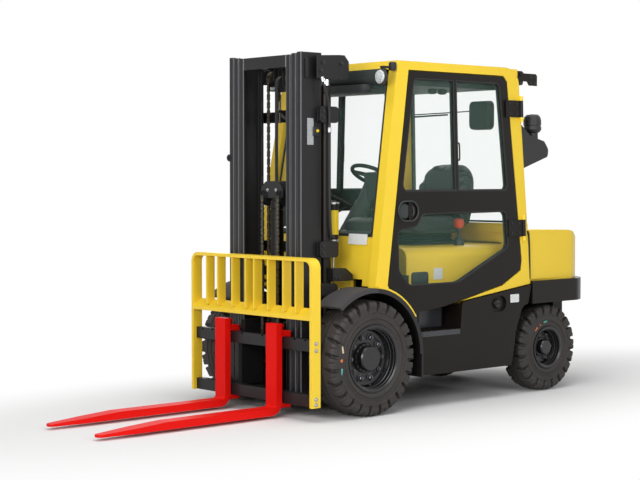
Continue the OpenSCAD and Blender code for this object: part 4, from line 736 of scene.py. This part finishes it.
def cushion(name, shape, flat):
    """A stuffed pad: its skin is blown up against the stitched side, which flat() picks, by 22 mm
    at most."""
    blown_by = 0.022
    mesh = bpy.data.meshes.new(name)
    mesh.from_pydata([tuple(p) for p in shape[0]], [], shape[1])
    made = bpy.data.objects.new(name, mesh)
    scene.collection.objects.link(made)

    def settled():
        """The pad's mesh with its modifiers applied."""
        return bpy.data.meshes.new_from_object(
            made.evaluated_get(bpy.context.evaluated_depsgraph_get()))

    skin = made.modifiers.new("skin", "REMESH")
    skin.mode, skin.voxel_size = "VOXEL", 0.006
    made.data = settled()
    made.modifiers.clear()
    rest = [v.co.copy() for v in made.data.vertices]
    stitched = made.vertex_groups.new(name="stitched")
    stitched.add([i for i, p in enumerate(rest) if flat(p)], 1.0, "REPLACE")
    cloth = made.modifiers.new("stuffing", "CLOTH")
    cloth.settings.use_pressure = True
    cloth.settings.uniform_pressure_force = 4.0
    cloth.settings.effector_weights.gravity = 0.0
    cloth.settings.vertex_group_mass = "stitched"
    cloth.settings.quality = 4
    for step in range(1, 21):
        scene.frame_set(step)
    blown = settled()
    made.modifiers.clear()
    for v, p in zip(blown.vertices, rest):
        move = v.co - p
        v.co = p + move * min(1.0, blown_by / max(move.length, 1e-6))
    made.data = blown
    scene.frame_set(1)
    finer = made.modifiers.new("finer", "SUBSURF")
    finer.levels = finer.render_levels = 1
    made.data.materials.clear()
    made.data.materials.append(vinyl)
    made.data.shade_smooth()
    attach(made, "chassis")
    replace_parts(made, "seat")
    return made


def reclined(x, y, z):
    """A point of the back rest, which leans back 9 degrees from its foot."""
    lean, foot_x, foot_z = radians(9), -1190, 1150
    c, d = cos(lean), sin(lean)
    return at(foot_x + x * c - z * d, y, foot_z + x * d + z * c)


seat_x, back_mid = -990, 190
seat_plan = rounded(448, 446, 60)
back_plan = softened([(-222, -10), (222, -10), (242, 120), (212, 408), (-212, 408), (-242, 120)],
                     [30, 30, 90, 150, 150, 90], 9)


def back_ring(x, k):
    """The back's outline at a depth, scaled about its middle."""
    return [reclined(x, y * k, back_mid + (z - back_mid) * k) for y, z in back_plan]


base, back, piping, bellows = shapes(4)
swell(base, seat_plan, ((1080, 0.97), (1090, 1.0), (1134, 1.0), (1150, 0.96)),
      lambda u, v, z: at(seat_x + u, v, z))
loft(back, [back_ring(x, k) for x, k in ((-96, 0.93), (-84, 0.985), (-34, 0.985), (-22, 0.93))])
# Side bolsters
for w in (-198, 198):
    swell(base, rounded(440, 66, 30), ((1096, 0.97), (1104, 1.0), (1150, 0.98), (1168, 0.84)),
          lambda u, v, z: at(-980 + u, w + v, z))
for w in (-186, 186):
    swell(back, rounded(60, 270, 28), ((-60, 1.0), (-14, 0.96), (-4, 0.8)),
          lambda u, v, x: reclined(x, w + u, 150 + v))
cushion("seat_cushion", base, lambda p: p.z < 1.092)
cushion("seat_back", back, lambda p: p.x < reclined(-88, 0, (p.z - 1.15) * 1000).x)
tube(piping, [at(seat_x + u * 1.02, v * 1.03, 1092) for u, v in seat_plan], 4, 8, True)
tube(piping, back_ring(-90, 0.97), 4, 8, True)
piece("seat_piping", piping, vinyl, "chassis")
folds = [(1000.5, 1.0), (1014, 1.0), (1014.5, 0.9)]
folds += [(1016 + i * 9.5, 0.9 - 0.05 * (i % 2)) for i in range(7)]
folds += [(1076, 0.9), (1077, 1.06), (1084, 1.06)]
swell(bellows, rounded(420, 390, 40), folds, lambda u, v, z: at(-1005 + u, v, z))
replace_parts(piece("seat_bellows", bellows, seam_rubber, "chassis"), "seat")

# Lamps: moulded housings with pressed lenses, the work lamps in front and the rear lamps on cut
# steel brackets, bolted to the roof's rear corners, that have open screw holes.


def cut_plate(shape, outline, faces, s):
    """Adds a plate cut to an outline of (x, z), through faces at distances to one side."""
    loft(shape, [[at(x, s * y, z) for x, z in outline] for y in faces])


dress(black_polymer, "work_lamps", "rear_lamps", "air_intake")
# Lamp lens: cut in small facets; its pale tone and facet sparkle are painted reflector light
lens, spot, shader = finish_of("ribbed_lamp_lens_painted_sparkle", Roughness=0.12, IOR=1.49, Coat_Weight=0.6)
facet = add(lens, "TexVoronoi", Vector=spot, Scale=1 / 0.011)
# Painted reflection and sparkle: pale facet centres and darker facet edges in the colour
toned(lens, shader, facet.outputs["Distance"], linear("#dfe3e4"), linear("#8d9396"))
relief(lens, shader, facet.outputs["Distance"], 0.5, 0.002)
# Red lens: a clear, shiny red
red_lens = moulded("moulded_red_lens", "#cf171c", "#b40f14", 0.18, 0.006, 0.001)
lenses, tail, markers, brackets, eyes = shapes(5)
bracket = ((-1406, 2074), (-1406, 2160), (-1486, 2160), (-1506, 2146), (-1626, 2146), (-1640, 2134),
           (-1640, 2066), (-1560, 2066), (-1540, 2092), (-1470, 2092))
for s in (1, -1):
    turn(lenses, [(43, 0), (43, 3), (38, 8), (26, 12), (10, 14)], at(-166, s * 515, 2066),
         (1, 0, 0), 32)
    plate(tail, rounded(82, 60, 9), at(-1499.6, s * 450, 2107), (0, -1, 0), 5, 2)
    swell(markers, rounded(30, 56, 14), ((-268, 0.9), (-262, 1.0), (-232, 1.0), (-226, 0.86)),
          lambda u, v, x: at(x, s * 540 + u, 2132 + v))
    cut_plate(brackets, bracket, (501, 506, 507), s)
    for x, z in ((-1430, 2136), (-1430, 2100), (-1470, 2136)):
        bolt(brackets, at(x, s * 507, z), (0, s, 0), 9)
    for x, z in ((-1580, 2124), (-1616, 2124), (-1580, 2086), (-1616, 2086)):
        tube(eyes, [ring_at(x, s * 507.5, z, 8, a) for a in circle(16)], 2, 6, True)
piece("work_lamp_lenses", lenses, lens, "chassis")
piece("lamp_brackets", brackets, black_enamel, "chassis")
piece("lamp_bracket_eyelets", eyes, grey_polymer, "chassis")
piece("front_marker_lamps", markers, black_polymer, "chassis")
piece("rear_lamp_lenses", tail, red_lens, "chassis")

# Mast: three pairs of rolled steel channels that run in each other on rollers, tied across by
# welded bars and sprayed black. The carriage and the crosshead share the paint.
# Rail enamel: black, streaked lengthwise where the rails rub
rail_paint, spot, shader = finish_of("worn_rail_enamel", Roughness=0.38, Specular_IOR_Level=0.28)
streak = add(rail_paint, "Mapping", Vector=spot, Scale=(1 / 0.004, 1 / 0.004, 1 / 0.6))
rub = clouded(rail_paint, streak.outputs[0], shader, 1.0, 3.0, "#111112", "#1f1f21")
soft = add(rail_paint, "Bevel", {"samples": 4}, Radius=0.005)
relief(rail_paint, shader, rub, 0.06, 0.001, Normal=soft.outputs[0])
dress(rail_paint, "carriage", "crosshead")
# Rail enamel with painted highlights: on the rails' front faces the flange corners, which stand at a
# pitch of 50 mm, carry grey strips painted into the colour as highlights
rail_highlight_enamel = rail_paint.copy()
rail_highlight_enamel.name = "rail_enamel_painted_highlights"
shader = next(n for n in rail_highlight_enamel.node_tree.nodes if n.type == "BSDF_PRINCIPLED")
painted = shader.inputs["Base Color"].links[0].from_socket
rail_pitch, first_rail, rail_mid, front_face, rail_side = 0.05, 0.0055, 0.0315, 0.562, 0.2
spot = add(rail_highlight_enamel, "TexCoord").outputs["Object"]
axes = add(rail_highlight_enamel, "SeparateXYZ", Vector=spot).outputs
width = maths(rail_highlight_enamel, "ABSOLUTE", axes["Y"])
across = maths(rail_highlight_enamel, "MODULO", maths(rail_highlight_enamel, "ADD", width, first_rail), rail_pitch)
apart = maths(rail_highlight_enamel, "ABSOLUTE", maths(rail_highlight_enamel, "SUBTRACT", across, rail_mid))
corner = add(rail_highlight_enamel, "MapRange", Value=apart, From_Min=0.0145, From_Max=0.0175)
ahead = maths(rail_highlight_enamel, "GREATER_THAN", axes["X"], front_face)
beside = maths(rail_highlight_enamel, "GREATER_THAN", width, rail_side)
on_rail = maths(rail_highlight_enamel, "MULTIPLY", ahead, beside)
painted_highlight = maths(rail_highlight_enamel, "MULTIPLY", corner.outputs[0], on_rail)
# Painted highlight: grey strips along the flange corners stand in for light glancing off them
toned(rail_highlight_enamel, shader, painted_highlight, painted, linear("#747478"))
dress(rail_highlight_enamel, "outer_mast", "middle_mast", "inner_mast")
dress(black_enamel, "lift_barrels", "accumulator", "free_lift_barrel", "tilt_barrels")

# Mast fittings: cut steel plates bolted to the outer rails as top brackets, shims and guards over
# the tilt rods' pins, a bare zinc-plated plate on each rail, and a sensor with a yellow tip.
# Zinc plate: a bright, slightly mottled grey metal
zinc, spot, shader = finish_of("zinc_plated_steel", Metallic=1.0, Roughness=0.34)
clouded(zinc, spot, shader, 0.01, 3.0, "#8e9092", "#c3c6c8")
# Yellow polymer: a plain, half shiny yellow
yellow_polymer = moulded("moulded_yellow_polymer", "#e4c71d", "#d6b915", 0.4, 0.004, 0.0004)
top_bracket = ((238, 2046), (238, 2184), (60, 2194), (14, 2194), (-22, 2156), (-22, 2062),
               (-6, 2046))
tilt_guard = ((140, 816), (142, 897), (36, 894), (-22, 852), (-22, 816))
bolts, shims, bare, sensor = shapes(4)
for s in (1, -1):
    side, across = (0, s, 0), (-s, 0, 0)
    for z in (990, 1030, 1810, 1850):
        bolt(bolts, at(180, s * 381, z), side, 9)
    plate(shims, rounded(26, 118, 4), at(285, s * 345, 2108), across, 10, 2)
    plate(shims, rounded(40, 60, 6), at(212, s * 345, 1728), across, 16, 3)
    plate(bare, rounded(50, 162, 5), at(256, s * 345.5, 1726), across, 3, 1)
    cut_plate(shims, top_bracket, (381.2, 387, 388.5), s)
    for x, z in ((190, 2142), (205, 2092), (40, 2142)):
        bolt(bolts, at(x, s * 388.5, z), side, 11)
    cut_plate(shims, tilt_guard, (374, 424, 427), s)
    for x in (120, 90):
        bolt(bolts, at(x, s * 427, 838), side, 8)
turn(shims, [(24, 0), (24, 14), (18, 22), (8, 24)], at(320, -345, 1573), (0, -1, 0), 24)
turn(sensor, [(9, 0), (9, 8), (6, 11)], at(212, 361, 1730), (0, 1, 0), 16)
piece("mast_bolts", bolts, black_polymer, "outer_mast")
piece("mast_shims", shims, rail_paint, "outer_mast")
piece("mast_bare_plates", bare, zinc, "outer_mast")
piece("mast_sensor_tip", sensor, yellow_polymer, "outer_mast")

# Accumulator trim: two clamp bands with their screws and a yellow sleeve on the pressure bottle,
# and two bent steel pipes below it, all zinc plated apart from the sleeve.
bottle_x, bottle_y = 10, 270
bands, sleeve, pipes = shapes(3)
for z in (1052, 1284):
    turn(bands, [(41.5, 0), (41.5, 12)], at(bottle_x, bottle_y, z), (0, 0, 1), 32)
    turn(bands, [(6, 0), (6, 24)], at(-12, 308, z + 6), (1, 0.6, 0), 10)
turn(sleeve, [(40.8, 0), (40.8, 150)], at(bottle_x, bottle_y, 1096), (0, 0, 1), 32)
for y, z in ((252, 840), (288, 800)):
    tube(pipes, smooth([at(18, y, 1024), at(14, y, 980), at(18, y, z + 60), at(34, y, z + 20),
                        at(60, y, z)]), 6, 10)
piece("accumulator_bands", bands, zinc, "outer_mast")
piece("accumulator_sleeve", sleeve, yellow_polymer, "outer_mast")
piece("accumulator_pipes", pipes, zinc, "outer_mast")

# Hoses: wire-braided rubber with crimped steel ends. Two run over a pulley at the middle mast's top
# to the free lift cylinder, and one loops from each top bracket down the lift cylinder.
# Hose rubber: a dull black with a fine weave
hose_rubber = moulded("braided_hose_rubber", "#1e1e1f", "#151516", 0.6, 0.003, 0.0008)
loop, ends = shapes(2)
for s in (1, -1):
    tube(loop, smooth([at(x, s * y, z) for x, y, z in (
        (196, 388, 2040), (182, 396, 1990), (156, 396, 1915), (142, 392, 1850), (140, 390, 1740),
        (140, 390, 1500), (136, 390, 1250), (120, 384, 1100), (96, 384, 1085))], 8), 8, 10)
    turn(ends, [(12, 0), (12, 26), (10, 30)], at(140, s * 390, 1722), (0, 0, 1), 12)
    turn(ends, [(12, -8), (12, 22)], at(196, s * 388, 2048), (-0.2, 0.1 * s, -1), 12)
piece("mast_hose_loops", loop, hose_rubber, "outer_mast")
piece("mast_hose_ends", ends, zinc, "outer_mast")
hose_r, pulley_x, pulley_z, pulley_r = 6, 150, 2030, 48
rising, falling, over, pulley = shapes(4)
for y in (-33, -47):
    tube(rising, [at(198, y, 300 + i * 24.714) for i in range(71)], hose_r, 10)
    tube(falling, [at(102, y, 1090 + i * 23.5) for i in range(41)], hose_r, 10)
    tube(over, [ring_at(pulley_x, y, pulley_z, pulley_r, radians(9 * i)) for i in range(21)],
         hose_r, 10)
turn(pulley, [(12, -15), (48, -15), (48, -13), (41.5, -12), (41.5, 12), (48, 13), (48, 15),
              (12, 15)], at(pulley_x, -40, pulley_z), (0, 1, 0), 40)
for y in (-62, -22):
    plate(pulley, rounded(34, 170, 14), at(pulley_x, y, 2084), (-1, 0, 0), 4, 1)
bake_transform(piece("lift_hoses_front", rising, hose_rubber, None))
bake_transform(piece("lift_hoses_rear", falling, hose_rubber, None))
piece("lift_hoses_top", over, hose_rubber, "middle_mast")
piece("hose_pulley", pulley, rail_paint, "middle_mast")

# Cylinder rods: ground and hard-chromed steel bars that slide in the lift and tilt barrels.
# Hard chrome: a bright mirror with faint lengthwise polishing marks
hard_chrome, spot, shader = finish_of("hard_chromed_steel", Metallic=1.0, Roughness=0.12)
lay = add(hard_chrome, "Mapping", Vector=spot, Scale=(1 / 0.002, 1 / 0.002, 1 / 0.2))
clouded(hard_chrome, lay.outputs[0], shader, 1.0, 2.0, "#bfc2c4", "#dddfe0")
dress(hard_chrome, "lift_rods", "tilt_rods")

# Chains: leaf chain of punched steel links on riveted pins. Each mast chain runs over its sheave
# to a bolt on the outer mast; the lift chains run from the carriage to the crosshead.
# Chain steel: dark with oil and brighter where the links rub
oiled_steel, spot, shader = finish_of("oiled_chain_steel", Metallic=1.0, Roughness=0.4)
clouded(oiled_steel, spot, shader, 0.02, 4.0, "#3d3a33", "#857f70")
dress(oiled_steel, "mast_sheaves")


def leaf_chain(shape, pins, y):
    """Adds links between (x, z) pins in one upright plane: three and four leaves by turns."""
    end, waist, thick = 6.2, 4.4, 1.4
    for k, (p, q) in enumerate(zip(pins, pins[1:])):
        run = Vector(q) - Vector(p)
        long = run.length
        run.normalize()
        across = Vector((-run[1], run[0]))
        bend = [(end * cos(radians(t)), end * sin(radians(t)))
                for t in (0, 45, 80)]
        half = [(-u, v) for u, v in bend] + [(long / 2, waist)]
        half += [(long + u, v) for u, v in reversed(bend)]
        outline = half + [(u, -v) for u, v in reversed(half[1:-1])]
        leaf = [(p[0] + run[0] * u + across[0] * v, p[1] + run[1] * u + across[1] * v)
                for u, v in outline]
        for off in ((-9.4, -3.2, 3.2, 9.4) if k % 2 else (-6.3, 0, 6.3)):
            cut_plate(shape, leaf, (y + off - thick, y + off + thick), 1)
        turn(shape, [(3.6, 0), (3.6, 24)], at(p[0], y - 12, p[1]), (0, 1, 0), 8)


def drop(x, low, high):
    """Pins about 25 mm apart on an upright strand."""
    n = round((high - low) / 25.4)
    return [(x, low + (high - low) * i / n) for i in range(n + 1)]


sheave_x, sheave_z, wrap_r = 174, 2064, 45
front_low, rear_low, lift_low = 146, 1912, 462
front_run, wraps, rear_run, lift_run = shapes(4)
for y in (93, -93):
    leaf_chain(front_run, drop(219, front_low, sheave_z), y)
    leaf_chain(wraps, [(sheave_x + wrap_r * cos(a), sheave_z + wrap_r * sin(a))
                       for a in (radians(30 * i) for i in range(7))], y)
    leaf_chain(rear_run, drop(129, rear_low, sheave_z), y)
    # Chain bolt with its two nuts
    turn(rear_run, [(10, 0), (10, 44), (7, 48)], at(128, y, 1880), (0, 0, 1), 12)
    turn(rear_run, [(6.5, -90), (6.5, 10)], at(126, y, 1880), (0, 0, 1), 12)
    for z in (1872, 1800):
        turn(rear_run, [(11, 0), (11, 10)], at(126, y, z), (0, 0, 1), 6)
for y in (125, -25):
    leaf_chain(lift_run, drop(324, lift_low, 1332), y)
front_chain = piece("mast_chain_fronts", front_run, oiled_steel, None)
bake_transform(front_chain)
rear_chain = piece("mast_chain_rears", rear_run, oiled_steel, None)
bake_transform(rear_chain)
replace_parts(piece("mast_chain_wraps", wraps, oiled_steel, "middle_mast"), "mast_chains")
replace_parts(front_chain, "mast_chains")
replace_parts(rear_chain, "mast_chains")
lift_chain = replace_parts(piece("lift_chain_runs", lift_run, oiled_steel, "carriage"), "lift_chains")
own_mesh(lift_chain)

# Crosshead cover: a steel plate over the sheaves on the free lift rod, held by two zinc-plated
# bolts in front.
head_bolts = ([], [])
for y in (10, 90):
    bolt(head_bolts, at(312, y, 1372), (1, 0, 0), 7)
piece("crosshead_bolts", head_bolts, zinc, "crosshead")

# Backrest and forks: a welded yellow guard, bolted to the carriage at its sides, and forged forks
# that hook over the carriage's bars.
dress(yellow_enamel, "load_backrest")
# Red enamel: a strong red, less glossy than the yellow
red_enamel = enamel("red_enamel", "#de120a", "#d60e07", 0.45, 0.12)
dress(red_enamel, "left_fork", "right_fork")
guard_bolts = ([], [])
for s in (1, -1):
    for z in (470, 428, 140, 108):
        bolt(guard_bolts, at(420, s * 587, z), (0, s, 0), 9)
piece("backrest_bolts", guard_bolts, zinc, "carriage")
